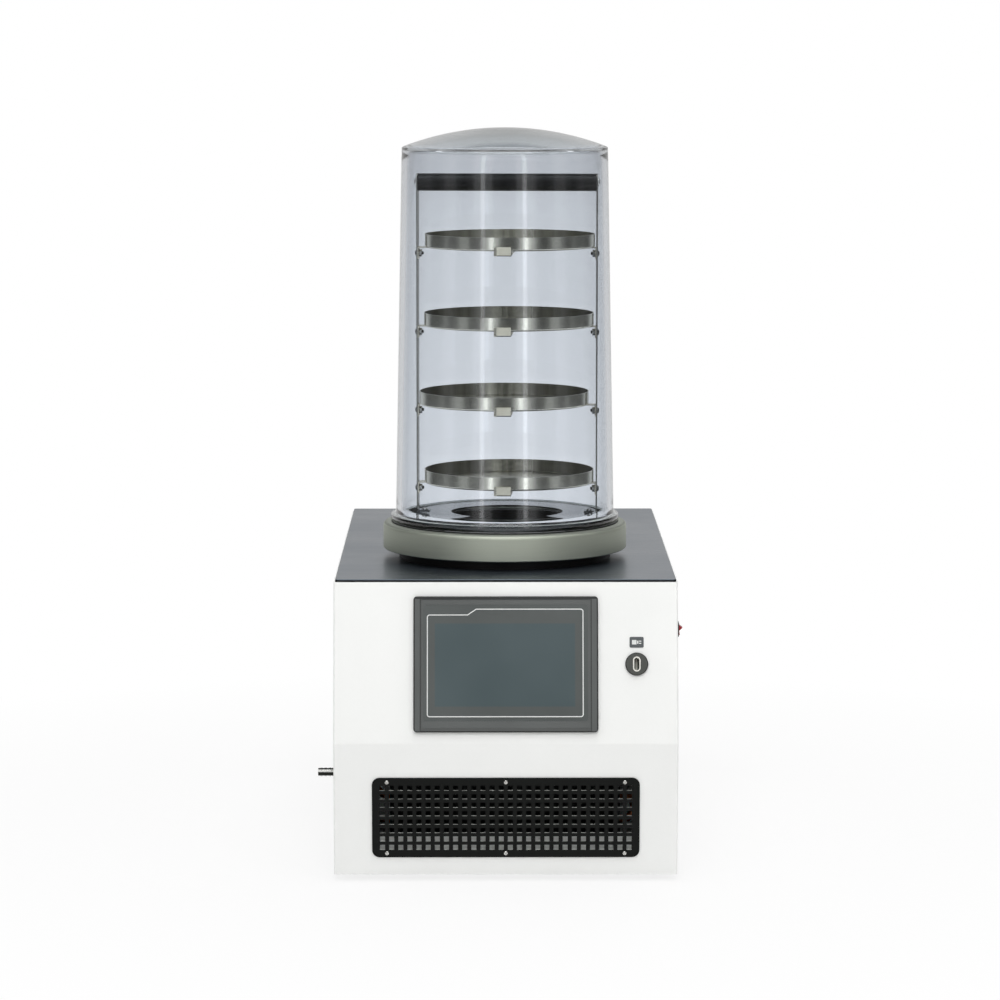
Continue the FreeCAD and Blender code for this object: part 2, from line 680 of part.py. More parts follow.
def rear_panel():
    """Flat sheet with exhaust slots and holes for the vacuum port and the power inlet."""
    panel = box(-HALF_WIDTH, HALF_WIDTH, REAR_INSIDE, DEPTH, 0, BODY_TOP)
    slots = slot_bank(REAR_VENTS, VENT_PITCH, VENT_LENGTH, VENT_HEIGHT)
    slots_at = FreeCAD.Placement(Vec(REAR_VENT_X, DEPTH, REAR_VENT_Z), FreeCAD.Rotation(Z_AXIS, 90))
    hole = cylinder(VACUUM_RADIUS + SLIDE, Vec(0, REAR_INSIDE - SHEET, vacuum_z()), Y_AXIS, 3 * SHEET)
    half_width = inlet_body_width() / 2 + HOLE
    half_height = inlet_body_height() / 2 + HOLE
    inlet = box(INLET_X - half_width, INLET_X + half_width, REAR_INSIDE - SHEET, DEPTH + SHEET,
                INLET_Z - half_height, INLET_Z + half_height)
    return panel.cut([placed(slots, slots_at), hole, inlet] + rear_screw_bores(1) + rear_screw_bores(-1))


def panel_screws():
    """Screws of the rear panel."""
    screw = pan_screw(**PANEL_SCREW)
    places = rear_screw_places(1) + rear_screw_places(-1)
    return Part.makeCompound([rearward(screw, x, DEPTH, z) for x, z in places])


def base_pan():
    """Tray-shaped floor on the lower flanges, with a higher rim behind the grille."""
    front = BOTTOM_SETBACK + SHEET + PAN_GAP
    half = SIDE_INSIDE - SLIDE
    rear = REAR_INSIDE - SHEET - SLIDE
    pan = box(-half, half, front, rear, SHEET, SHEET + PAN_RIM)
    pan = pan.fuse(box(-half, half, front, front + PAN_SHEET, SHEET, SHEET + PAN_RAIL))
    pan = pan.cut(box(-half + PAN_SHEET, half - PAN_SHEET, front + PAN_SHEET, rear - PAN_SHEET,
                      FLOOR, SHEET + PAN_RIM + 1))
    return pan.removeSplitter()


def rubber_feet():
    """Four tapered feet under the base pan."""
    foot = turned([(0, -FOOT_HEIGHT), (FOOT_TIP_RADIUS - 1, -FOOT_HEIGHT, QUARTER_ARC),
                   (FOOT_TIP_RADIUS, 1 - FOOT_HEIGHT), (FOOT_RADIUS, SHEET), (0, SHEET)])
    x = HALF_WIDTH - FOOT_INSET_X
    places = [(sx * x, y) for sx in (-1, 1) for y in (BOTTOM_SETBACK + FOOT_INSET_Y, DEPTH - FOOT_INSET_Y)]
    return Part.makeCompound([moved_to(foot, px, py, 0) for px, py in places])


def top_plate():
    """Plate with rounded edges and the opening for the cold trap."""
    width = WIDTH - 2 * PLATE_INSET
    depth = DEPTH - TOP_SETBACK
    centre = (0, TOP_SETBACK + depth / 2)
    plate = rounded_plate(width, depth, PLATE_CORNER_RADIUS, BODY_TOP, PLATE_TOP, centre)
    rim = [e for e in plate.Edges if abs(e.BoundBox.ZMin - PLATE_TOP) < TINY]
    plate = plate.makeFillet(PLATE_EDGE_RADIUS, rim)
    return plate.cut(cylinder(COLLAR_BORE, Vec(0, JAR_Y, BODY_TOP - 1), Z_AXIS, PLATE_THICKNESS + 2))


def grille_plate():
    """Perforated plate with square holes in rows and columns."""
    plate = rounded_plate(GRILLE_WIDTH, GRILLE_HEIGHT, GRILLE_RADIUS, 0, GRILLE_THICKNESS, (0, -GRILLE_DOWN))
    half = GRILLE_HOLE / 2
    holes = [box(x - half, x + half, y - half, y + half, -1, GRILLE_THICKNESS + 1) for x, y in grille_grid()]
    holes += [cylinder(GRILLE_SCREW["radius"] + HOLE, Vec(x, y, -1), Z_AXIS, GRILLE_THICKNESS + 2)
              for x, y in grille_screw_places()]
    return on_lower(plate.cut(holes))


def grille_screws():
    """Six screws of the grille."""
    screw = pan_screw(**GRILLE_SCREW)
    places = grille_screw_places()
    return Part.makeCompound([on_lower(moved_to(screw, x, y, GRILLE_THICKNESS)) for x, y in places])


# ================================================================ touch panel
def touch_panel_frame():
    """Moulded bezel with a groove round its field and a shallow seat for the glass."""
    centre = (0, PANEL_UP)
    frame = rounded_plate(PANEL_WIDTH, PANEL_HEIGHT, PANEL_RADIUS, 0, PANEL_PROUD, centre)
    rim = [e for e in frame.Edges if abs(e.BoundBox.ZMin - PANEL_PROUD) < TINY]
    frame = frame.makeFillet(PANEL_EDGE, rim)
    field_width = PANEL_WIDTH - 2 * GROOVE_SIDE
    field_height = PANEL_HEIGHT - 2 * GROOVE_TOP
    floor = PANEL_PROUD - GROOVE_DEPTH
    outer = rounded_plate(field_width, field_height, PANEL_EDGE, floor, PANEL_PROUD + 1, centre)
    inner = rounded_plate(field_width - 2 * GROOVE_WIDTH, field_height - 2 * GROOVE_WIDTH, PANEL_EDGE / 2,
                          floor, PANEL_PROUD + 1, centre)
    seat = rounded_plate(GLASS_WIDTH + HOLE, GLASS_HEIGHT + HOLE, GLASS_RADIUS,
                         PANEL_PROUD - GLASS_THICKNESS, PANEL_PROUD + 1, (0, GLASS_UP))
    return on_upper(frame.cut(outer.cut(inner)).cut(seat))


def touch_screen():
    """Glass of the touch panel, just below the bezel's face."""
    bottom = PANEL_PROUD - GLASS_THICKNESS
    top = PANEL_PROUD - HOLE
    return on_upper(rounded_plate(GLASS_WIDTH, GLASS_HEIGHT, GLASS_RADIUS, bottom, top, (0, GLASS_UP)))


def touch_panel_housing():
    """Closed case behind the bezel with cooling grooves in its back."""
    case = rounded_plate(HOUSING_WIDTH, HOUSING_HEIGHT, HOUSING_RADIUS, -HOUSING_DEPTH, 0, (0, PANEL_UP))
    starts = [(k - RIBS / 2) * RIB_PITCH for k in range(RIBS)]
    grooves = [box(x, x + RIB_WIDTH, PANEL_UP - RIB_LENGTH / 2, PANEL_UP + RIB_LENGTH / 2,
                   -HOUSING_DEPTH - 1, RIB_DEPTH - HOUSING_DEPTH) for x in starts]
    return on_upper(case.cut(grooves))


def touch_panel_clamps():
    """Hooks on the case whose screws press on the inside of the front panel."""
    clamps = []
    for side in (-1, 1):
        face = PANEL_UP + side * HOUSING_HEIGHT / 2
        low, high = sorted((face, face + side * CLAMP_REACH))
        for x in (-CLAMP_X, CLAMP_X):
            block = box(x - CLAMP_WIDTH / 2, x + CLAMP_WIDTH / 2, low, high,
                        -SHEET - CLAMP_BLOCK - CLAMP_REACH, -SHEET - CLAMP_REACH)
            end = Vec(x, (low + high) / 2, -SHEET - CLAMP_SCREW_LENGTH)
            screw = cylinder(CLAMP_SCREW_RADIUS, end, Z_AXIS, CLAMP_SCREW_LENGTH)
            clamps.append(on_upper(block.fuse(screw)))
    return Part.makeCompound(clamps)


# ================================================================ USB socket
def usb_socket_body():
    """Round flange and threaded barrel with a slot for the metal shell."""
    edge = USB_FLANGE_EDGE
    body = turned([(0, -USB_BARREL_LENGTH), (USB_BARREL_RADIUS, -USB_BARREL_LENGTH), (USB_BARREL_RADIUS, 0),
                   (USB_FLANGE_RADIUS, 0), (USB_FLANGE_RADIUS, USB_FLANGE_HEIGHT - edge, QUARTER_ARC * edge),
                   (USB_FLANGE_RADIUS - edge, USB_FLANGE_HEIGHT), (0, USB_FLANGE_HEIGHT)])
    slot = obround(USB_SHELL_WIDTH + 2 * RUN, USB_SHELL_HEIGHT + 2 * RUN,
                   USB_FLANGE_HEIGHT + USB_SHELL_PROUD - USB_SHELL_DEPTH, USB_FLANGE_HEIGHT + 1)
    side = USB_SHELL_WALL + HOLE - USB_SHELL_WIDTH / 2
    tongue = box(side, side + USB_TONGUE, -USB_SHELL_HEIGHT / 4, USB_SHELL_HEIGHT / 4,
                 USB_FLANGE_HEIGHT - USB_SHELL_DEPTH, USB_FLANGE_HEIGHT - 2)
    return on_upper(moved_to(body.cut(slot).fuse(tongue), USB_X, USB_UP, 0))


def usb_socket_shell():
    """Oblong metal sleeve of the socket."""
    top = USB_FLANGE_HEIGHT + USB_SHELL_PROUD
    bottom = top - USB_SHELL_DEPTH
    outer = obround(USB_SHELL_WIDTH, USB_SHELL_HEIGHT, bottom, top)
    wall = 2 * USB_SHELL_WALL
    inner = obround(USB_SHELL_WIDTH - wall, USB_SHELL_HEIGHT - wall, bottom - 1, top + 1)
    return on_upper(moved_to(outer.cut(inner), USB_X, USB_UP, 0))


def usb_nut():
    """Nut behind the front panel."""
    nut = hexagon(USB_NUT_ACROSS, USB_NUT_HEIGHT, USB_BARREL_RADIUS + RUN)
    return on_upper(moved_to(nut, USB_X, USB_UP, -SHEET - USB_NUT_HEIGHT))


def usb_label():
    """Small plate above the socket."""
    plate = rounded_plate(LABEL_WIDTH, LABEL_HEIGHT, LABEL_RADIUS, 0, LABEL_THICKNESS, (USB_X, LABEL_UP))
    return on_upper(plate)


# ================================================================ power switch
def switch_frame():
    """Moulded frame and body: a rim outside the panel, a well for the rocker, terminals behind."""
    rim = box(0, SWITCH_FRAME_PROUD, -SWITCH_FRAME_WIDTH / 2, SWITCH_FRAME_WIDTH / 2,
              -SWITCH_FRAME_HEIGHT / 2, SWITCH_FRAME_HEIGHT / 2)
    outer_edges = [e for e in rim.Edges if abs(e.BoundBox.XMin - SWITCH_FRAME_PROUD) < TINY]
    rim = rim.makeFillet(SWITCH_FRAME_PROUD / 2, outer_edges)
    body = box(-SWITCH_BODY_DEPTH, 0, -SWITCH_BODY_WIDTH / 2, SWITCH_BODY_WIDTH / 2,
               -SWITCH_BODY_HEIGHT / 2, SWITCH_BODY_HEIGHT / 2)
    swing = math.hypot(ROCKER_ROOT, ROCKER_PEAK_Z) + ROCKER_GAP
    well = box(-PIVOT_INSIDE - swing, SWITCH_FRAME_PROUD + 1, -ROCKER_WIDTH / 2 - ROCKER_GAP,
               ROCKER_WIDTH / 2 + ROCKER_GAP, -rocker_reach() - ROCKER_GAP, rocker_reach() + ROCKER_GAP)
    pivot_end = Vec(-PIVOT_INSIDE, -SWITCH_BODY_WIDTH, 0)
    pivot = cylinder(PIVOT_RADIUS + RUN, pivot_end, Y_AXIS, 2 * SWITCH_BODY_WIDTH)
    frame = rim.fuse(body).cut([well, pivot])
    for z in (-TERMINAL_PITCH, 0.0, TERMINAL_PITCH):
        frame = frame.fuse(box(-SWITCH_BODY_DEPTH - TERMINAL_LENGTH, -SWITCH_BODY_DEPTH, -TERMINAL_WIDTH / 2,
                               TERMINAL_WIDTH / 2, z - TERMINAL_THICKNESS / 2, z + TERMINAL_THICKNESS / 2))
    return moved_to(frame.removeSplitter(), HALF_WIDTH, SWITCH_Y, SWITCH_Z)


def rocker_reach():
    """How far along the frame a raised end reaches when it is pressed in."""
    tilt = math.radians(ROCKER_TILT)
    return ROCKER_PEAK * math.sin(tilt) + ROCKER_PEAK_Z * math.cos(tilt)


def switch_rocker():
    """Rocker with two raised ends on a pin, its upper end standing out."""
    half = [(-ROCKER_ROOT, ROCKER_PEAK_Z), (ROCKER_PEAK / 4, ROCKER_END),
            (ROCKER_PEAK * 0.7, ROCKER_END * 0.86), (ROCKER_PEAK, ROCKER_PEAK_Z)]
    outline = half + [(ROCKER_VALLEY, 0.0)] + [(x, -z) for x, z in reversed(half)]
    face = polygon_face([Vec(x, -ROCKER_WIDTH / 2, z) for x, z in outline])
    rocker = face.extrude(Vec(0, ROCKER_WIDTH, 0))
    pin = cylinder(PIVOT_RADIUS, Vec(0, -SWITCH_BODY_WIDTH / 2, 0), Y_AXIS, SWITCH_BODY_WIDTH)
    rocker = rocker.fuse(pin).removeSplitter()
    pivot = Vec(HALF_WIDTH - PIVOT_INSIDE, SWITCH_Y, SWITCH_Z)
    return placed(rocker, FreeCAD.Placement(pivot, FreeCAD.Rotation(Y_AXIS, ROCKER_TILT)))


# ================================================================ chamber
def collar():
    """Black ring between the top plate and the base ring."""
    return on_axis(turned([(COLLAR_BORE, PLATE_TOP), (COLLAR_RADIUS, PLATE_TOP), (COLLAR_RADIUS, RING_BOTTOM),
                           (COLLAR_BORE, RING_BOTTOM)]))


def chamber_base_ring():
    """Turned ring with a rounded upper edge and a rebate for the trap's flange."""
    bore = TRAP_OUTSIDE + SLIDE
    rebate = TRAP_FLANGE + SLIDE
    edge = RING_EDGE_RADIUS
    return on_axis(turned([(bore, RING_BOTTOM), (RING_RADIUS - 1, RING_BOTTOM), (RING_RADIUS, RING_BOTTOM + 1),
                           (RING_RADIUS, RING_TOP - edge, QUARTER_ARC * edge), (RING_RADIUS - edge, RING_TOP),
                           (rebate, RING_TOP), (rebate, RING_TOP - TRAP_WALL), (bore, RING_TOP - TRAP_WALL)]))


def trap_vessel():
    """Deep-drawn pot with a flange, a drain spigot and a hole for the vacuum pipe."""
    r, t, c = TRAP_RADIUS, TRAP_WALL, TRAP_CORNER
    bottom = TRAP_BOTTOM
    pot = on_axis(turned([(0, bottom), (r - c, bottom, QUARTER_ARC * (c + t)), (r + t, bottom + c + t),
                          (r + t, RING_TOP - t), (TRAP_FLANGE, RING_TOP - t), (TRAP_FLANGE, RING_TOP),
                          (0, RING_TOP)]))
    inside = on_axis(turned([(0, bottom + t), (r - c, bottom + t, QUARTER_ARC * c), (r, bottom + t + c),
                             (r, RING_TOP + t), (0, RING_TOP + t)]))
    root = Vec(DRAIN_X, DRAIN_Y, bottom - SPIGOT_LENGTH)
    spigot = cylinder(SPIGOT_RADIUS, root, Z_AXIS, SPIGOT_LENGTH + c)
    bore = cylinder(SPIGOT_RADIUS - TRAP_WALL, root, Z_AXIS, SPIGOT_LENGTH + c)
    port_start = Vec(0, JAR_Y + TRAP_RADIUS - VACUUM_RADIUS, vacuum_z())
    port = cylinder(VACUUM_RADIUS - VACUUM_WALL, port_start, Y_AXIS, 2 * VACUUM_RADIUS)
    return pot.fuse(spigot).cut([inside, bore, port])


def vacuum_z():
    """Height of the vacuum line."""
    return BODY_TOP - VACUUM_DROP


def trap_insulation():
    """Foam jacket round the trap and its coil."""
    bottom = TRAP_BOTTOM - FOAM_BASE
    jacket = on_axis(turned([(0, bottom), (FOAM_RADIUS, bottom), (FOAM_RADIUS, BODY_TOP),
                             (FOAM_BORE, BODY_TOP), (FOAM_BORE, TRAP_BOTTOM), (0, TRAP_BOTTOM)]))
    drain = cylinder(DRAIN_TUBE_RADIUS + SLIDE, Vec(DRAIN_X, DRAIN_Y, bottom - 1), Z_AXIS, FOAM_BASE + 2)
    pipe_start = Vec(0, JAR_Y + FOAM_BORE - VACUUM_RADIUS, vacuum_z())
    pipe = cylinder(VACUUM_RADIUS + SLIDE, pipe_start, Y_AXIS, FOAM_WALL + 2 * VACUUM_RADIUS)
    tail = cylinder(COIL_TUBE + SLIDE, Vec(-COIL_RADIUS, JAR_Y, coil_bottom()), Y_AXIS, coil_tail() + 5)
    inward = Vec(0, JAR_Y, 0) - Vec(drier_x(), DRIER_Y, 0)
    capillary = cylinder(CAPILLARY_RADIUS + SLIDE, Vec(drier_x(), DRIER_Y, capillary_z()), inward,
                         inward.Length - COIL_RADIUS)
    return jacket.cut([drain, pipe, tail, capillary])


def coil_bottom():
    """Height of the coil's lowest turn."""
    return TRAP_BOTTOM + COIL_START


def trap_coil():
    """Evaporator tube in level turns with short risers, and a tail through the jacket."""
    start = Vec(-COIL_RADIUS, JAR_Y, coil_bottom())
    section = section_face(start, Y_AXIS, COIL_TUBE, 0)
    coil = section.revolve(Vec(0, JAR_Y, start.z), Z_AXIS, COIL_FIRST_TURN)
    coil = coil.fuse(cylinder(COIL_TUBE, start, Y_AXIS, coil_tail()))
    for turn in range(1, COIL_TURNS):
        height = coil_bottom() + turn * COIL_PITCH
        angle = math.radians(RISER_STEP * turn)
        foot = Vec(COIL_RADIUS * math.cos(angle), JAR_Y + COIL_RADIUS * math.sin(angle), height - COIL_PITCH)
        coil = coil.fuse(Part.makeTorus(COIL_RADIUS, COIL_TUBE, Vec(0, JAR_Y, height), Z_AXIS))
        coil = coil.fuse(cylinder(COIL_TUBE * 0.9, foot, Z_AXIS, COIL_PITCH))
    return coil


def coil_tail():
    """Length of the coil's straight end, from the axis to beyond the jacket."""
    return math.sqrt(FOAM_RADIUS ** 2 - COIL_RADIUS ** 2) + 8


def chamber_seal():
    """Rubber ring of L section under the jar, its lip inside the jar's foot."""
    lip_outer = jar_inner_radius(SEAL_LIP_HEIGHT) - SLIDE
    return on_axis(turned([(lip_outer - SEAL_LIP, RING_TOP), (JAR_FLANGE_RADIUS, RING_TOP),
                           (JAR_FLANGE_RADIUS, JAR_BOTTOM), (lip_outer, JAR_BOTTOM),
                           (lip_outer, JAR_BOTTOM + SEAL_LIP_HEIGHT),
                           (lip_outer - SEAL_LIP, JAR_BOTTOM + SEAL_LIP_HEIGHT)]))


def jar_inner_radius(height):
    """Inside radius of the tapered jar at a height above its foot."""
    return JAR_BOTTOM_RADIUS - JAR_WALL - JAR_DRAFT * height / JAR_HEIGHT


def sagitta_of(sphere, chord):
    """Height of an arc of a given radius over its chord."""
    return sphere - math.sqrt(sphere ** 2 - (chord / 2) ** 2)


def bell_jar():
    """Tapered clear jar with a flange at its foot and a shallow domed roof."""
    shoulder = JAR_BOTTOM + JAR_HEIGHT
    apex = shoulder + JAR_RISE
    flange_top = JAR_BOTTOM + JAR_FLANGE_HEIGHT
    root = JAR_ROOT_RADIUS
    edge = JAR_ROOT_RADIUS / 2
    wall_at_root = jar_inner_radius(JAR_FLANGE_HEIGHT + root) + JAR_WALL
    sphere = (JAR_TOP_RADIUS ** 2 + JAR_RISE ** 2) / (2 * JAR_RISE)
    sagitta = sagitta_of(sphere, math.hypot(JAR_TOP_RADIUS, JAR_RISE))
    inner_top = JAR_TOP_RADIUS - JAR_WALL
    inner_sphere = sphere - JAR_WALL
    inner_rise = sagitta_of(inner_sphere, 2 * inner_top)
    inner_sagitta = sagitta_of(inner_sphere, math.hypot(inner_top, inner_rise))
    jar = turned([(jar_inner_radius(0), JAR_BOTTOM), (JAR_FLANGE_RADIUS - 1, JAR_BOTTOM),
                  (JAR_FLANGE_RADIUS, JAR_BOTTOM + 1),
                  (JAR_FLANGE_RADIUS, flange_top - edge, QUARTER_ARC * edge),
                  (JAR_FLANGE_RADIUS - edge, flange_top),
                  (wall_at_root + root, flange_top, -QUARTER_ARC * root),
                  (wall_at_root, flange_top + root), (JAR_TOP_RADIUS, shoulder, sagitta), (0, apex),
                  (0, apex - JAR_WALL, -inner_sagitta), (inner_top, apex - JAR_WALL - inner_rise)])
    return on_axis(jar)


# ================================================================ rack and trays
def shelf_level(index):
    """Height of a shelf's upper face above the ring."""
    return TRAY_RIM_FIRST + index * TRAY_PITCH - TRAY_HEIGHT


def upright_inside():
    """Distance from the rack's axis to the inner face of an upright."""
    return UPRIGHT_OUTSIDE - UPRIGHT_SHEET


def disc_top():
    """Upper face of the rack's disc above the ring."""
    return DISC_FOOT_HEIGHT + DISC_THICKNESS


def foot_screw_x():
    """Screw through an upright's foot, from the rack's axis."""
    return UPRIGHT_OUTSIDE - UPRIGHT_FOOT / 2 - 1.5


def rack_base_disc():
    """Flat disc with a large central hole that stands on short feet."""
    disc = tube(DISC_RADIUS, DISC_BORE, Vec(0, 0, DISC_FOOT_HEIGHT), Z_AXIS, DISC_THICKNESS)
    bores = [cylinder(FOOT_SCREW["radius"] + HOLE, Vec(side * foot_screw_x(), 0, 0), Z_AXIS, 2 * disc_top())
             for side in (-1, 1)]
    return in_rack(disc.cut(bores))


def disc_feet():
    """Four short turned feet between the disc and the ring."""
    foot = turned([(0, 0), (DISC_FOOT_RADIUS - 1, 0), (DISC_FOOT_RADIUS, 1),
                   (DISC_FOOT_RADIUS, DISC_FOOT_HEIGHT), (0, DISC_FOOT_HEIGHT)])
    reach = DISC_FOOT_CIRCLE * math.sqrt(0.5)
    places = [(sx * reach, sy * reach) for sx in (-1, 1) for sy in (-1, 1)]
    return Part.makeCompound([in_rack(moved_to(foot, x, y, 0)) for x, y in places])


def upright(side):
    """Strip bent inward at its foot, round at the top, drilled for the handle and the shelves."""
    top = HANDLE_Z + HANDLE_RADIUS
    half = UPRIGHT_WIDTH / 2
    strip = box(upright_inside(), UPRIGHT_OUTSIDE, -half, half, disc_top(), top)
    top_edges = [e for e in edges_along(strip, X_AXIS) if e.CenterOfMass.z > top - TINY]
    strip = strip.makeFillet(half * 0.75, top_edges)
    foot = box(UPRIGHT_OUTSIDE - UPRIGHT_FOOT, UPRIGHT_OUTSIDE, -half, half,
               disc_top(), disc_top() + UPRIGHT_SHEET)
    strip = strip.fuse(foot).removeSplitter()
    bends = [e for e in edges_along(strip, Y_AXIS)
             if abs(e.CenterOfMass.x - UPRIGHT_OUTSIDE) < TINY and e.CenterOfMass.z < disc_top() + TINY]
    strip = strip.makeFillet(UPRIGHT_SHEET, bends)
    inside = upright_inside() - UPRIGHT_SHEET
    across = 3 * UPRIGHT_SHEET
    bores = [cylinder(HANDLE_SCREW["radius"] + HOLE, Vec(inside, 0, HANDLE_Z), X_AXIS, across)]
    screw_levels = [shelf_level(k) - SHELF_SCREW_DROP for k in range(TRAYS)]
    bores += [cylinder(SHELF_SCREW["radius"] + HOLE, Vec(inside, 0, z), X_AXIS, across) for z in screw_levels]
    bores.append(cylinder(FOOT_SCREW["radius"] + HOLE, Vec(foot_screw_x(), 0, 0), Z_AXIS, 2 * disc_top()))
    strip = strip.cut(bores)
    if side < 0:
        strip = strip.mirror(ORIGIN, X_AXIS)
    return in_rack(strip)


def rack_handle():
    """Round grip between the uprights, drilled at both ends."""
    length = 2 * upright_inside()
    grip = cylinder(HANDLE_RADIUS, Vec(-length / 2, 0, HANDLE_Z), X_AXIS, length)
    grip = grip.makeChamfer(HANDLE_CHAMFER, [e for e in grip.Edges if isinstance(e.Curve, Part.Circle)])
    reach = HANDLE_SCREW["length"] + 2
    bores = [cylinder(HANDLE_SCREW["radius"] + RUN, Vec(-length / 2, 0, HANDLE_Z), X_AXIS, reach),
             cylinder(HANDLE_SCREW["radius"] + RUN, Vec(length / 2 - reach, 0, HANDLE_Z), X_AXIS, reach)]
    return in_rack(grip.cut(bores))


def handle_screws():
    """Domed screws through the uprights into the grip."""
    screw = pan_screw(**HANDLE_SCREW)
    screws = [outward(screw, side, side * UPRIGHT_OUTSIDE, 0, HANDLE_Z) for side in (-1, 1)]
    return Part.makeCompound([in_rack(one) for one in screws])


def shelf(index):
    """Folded cross: an arm between the uprights, and a channel with stops at its ends."""
    top = shelf_level(index)
    half = SHELF_BAR / 2
    reach = upright_inside()
    arm = box(-reach, reach, -UPRIGHT_WIDTH / 2, UPRIGHT_WIDTH / 2, top - SHELF_SHEET, top)
    channel = box(-half, half, -SHELF_REACH, SHELF_REACH, top - SHELF_DROP, top)
    hollow = box(-half + SHELF_SHEET, half - SHELF_SHEET, -SHELF_REACH + SHELF_SHEET,
                 SHELF_REACH - SHELF_SHEET, top - SHELF_DROP - 1, top - SHELF_SHEET)
    whole = arm.fuse(channel.cut(hollow))
    for side in (-1, 1):
        x0, x1 = sorted((side * reach, side * (reach - SHELF_SHEET)))
        whole = whole.fuse(box(x0, x1, -UPRIGHT_WIDTH / 2, UPRIGHT_WIDTH / 2, top - SHELF_TAB, top))
        y0, y1 = sorted((side * SHELF_REACH, side * (SHELF_REACH - SHELF_SHEET)))
        whole = whole.fuse(box(-half, half, y0, y1, top - SHELF_DROP, top + SHELF_LIP))
    whole = whole.removeSplitter()
    bends = [e for e in edges_along(whole, Y_AXIS)
             if abs(abs(e.CenterOfMass.x) - reach) < TINY and abs(e.CenterOfMass.z - top) < TINY]
    whole = whole.makeFillet(SHELF_SHEET, bends)
    bore_end = Vec(-reach - 1, 0, top - SHELF_SCREW_DROP)
    bore = cylinder(SHELF_SCREW["radius"] + HOLE, bore_end, X_AXIS, 2 * reach + 2)
    return in_rack(whole.cut(bore))


def rack_screws():
    """Screws from outside the uprights into the shelves, and from their feet into the disc."""
    shelf_screw = pan_screw(**SHELF_SCREW)
    foot_screw = pan_screw(**FOOT_SCREW)
    screws = [outward(shelf_screw, side, side * UPRIGHT_OUTSIDE, 0, shelf_level(k) - SHELF_SCREW_DROP)
              for k in range(TRAYS) for side in (-1, 1)]
    screws += [moved_to(foot_screw, side * foot_screw_x(), 0, disc_top() + UPRIGHT_SHEET) for side in (-1, 1)]
    return Part.makeCompound([in_rack(screw) for screw in screws])


def shelf_nuts():
    """Nuts on the inner side of the shelves' ends."""
    nut = hexagon(NUT_ACROSS, NUT_HEIGHT, SHELF_SCREW["radius"] + RUN)
    inner = upright_inside() - SHELF_SHEET
    return Part.makeCompound([in_rack(outward(nut, -side, side * inner, 0, shelf_level(k) - SHELF_SCREW_DROP))
                              for k in range(TRAYS) for side in (-1, 1)])


def tray(index):
    """Shallow drawn tray with a rounded foot."""
    r, t, c = TRAY_RADIUS, TRAY_SHEET, TRAY_CORNER
    dish = turned([(0, 0), (r - c, 0, QUARTER_ARC * c), (r, c), (r, TRAY_HEIGHT), (r - t, TRAY_HEIGHT),
                   (r - t, c, -QUARTER_ARC * (c - t)), (r - c, t), (0, t)])
    return in_rack(moved_to(dish, TRAY_SHIFTS[index], 0, shelf_level(index)))


# ================================================================ drain
def drain_nozzle():
    """Hose barb through the left panel with a thin flange outside."""
    barb = NOZZLE_LENGTH / 4
    outline = [(NOZZLE_BORE, -NOZZLE_INSIDE), (SPIGOT_RADIUS, -NOZZLE_INSIDE),
               (SPIGOT_RADIUS, -NOZZLE_INSIDE / 2), (NOZZLE_RADIUS, -NOZZLE_INSIDE / 2),
               (NOZZLE_RADIUS, 0), (NOZZLE_FLANGE_RADIUS, 0),
               (NOZZLE_FLANGE_RADIUS, NOZZLE_FLANGE)]
    for index in range(4):
        foot = max(index * barb, NOZZLE_FLANGE)
        outline += [(NOZZLE_RADIUS, foot), (NOZZLE_ROOT, (index + 1) * barb)]
    outline.append((NOZZLE_BORE, NOZZLE_LENGTH))
    return outward(turned(outline), -1, -HALF_WIDTH, NOZZLE_Y, NOZZLE_Z)


def drain_nut():
    """Nut of the barb inside the panel."""
    nut = hexagon(DRAIN_NUT_ACROSS, DRAIN_NUT_HEIGHT, NOZZLE_RADIUS + RUN)
    return outward(nut, 1, -SIDE_INSIDE, NOZZLE_Y, NOZZLE_Z)


def drain_tube():
    """Flexible tube from the trap's spigot to the barb."""
    entry = -HALF_WIDTH + NOZZLE_INSIDE / 2 + SLIDE
    turn = TRAP_BOTTOM + DRAIN_TUBE_DROP
    points = [(DRAIN_X, DRAIN_Y, TRAP_BOTTOM - SLIDE), (DRAIN_X, DRAIN_Y, turn),
              (*DRAIN_TUBE_MIDDLE, NOZZLE_Z), (DRAIN_TUBE_END, NOZZLE_Y, NOZZLE_Z),
              (entry, NOZZLE_Y, NOZZLE_Z)]
    return bent_tube(points, DRAIN_TUBE_BEND, DRAIN_TUBE_RADIUS, SPIGOT_RADIUS + RUN)


# ================================================================ vacuum line
def vacuum_pipe():
    """Pipe from the trap to the rear panel, its end shaped to the trap's wall."""
    start = JAR_Y + TRAP_OUTSIDE - VACUUM_RADIUS
    pipe = tube(VACUUM_RADIUS, VACUUM_RADIUS - VACUUM_WALL, Vec(0, start, vacuum_z()), Y_AXIS, DEPTH - start)
    return pipe.cut(cylinder(TRAP_OUTSIDE, Vec(0, JAR_Y, TRAP_BOTTOM), Z_AXIS, TRAP_DEPTH))


def vacuum_port():
    """Small-flange vacuum connection on a square plate outside the rear panel."""
    plate = rounded_plate(PORT_PLATE, PORT_PLATE, PORT_PLATE_RADIUS, 0, PORT_PLATE_THICKNESS)
    bore = VACUUM_RADIUS - VACUUM_WALL
    back = PORT_LENGTH - PORT_FLANGE_THICKNESS
    stub = turned([(bore, 0), (VACUUM_RADIUS, 0), (VACUUM_RADIUS, back - PORT_TAPER),
                   (PORT_FLANGE_RADIUS, back), (PORT_FLANGE_RADIUS, PORT_LENGTH), (bore, PORT_LENGTH)])
    port = plate.fuse(stub).cut(cylinder(bore, Vec(0, 0, -1), Z_AXIS, PORT_LENGTH + 2))
    return rearward(port.removeSplitter(), 0, DEPTH, vacuum_z())


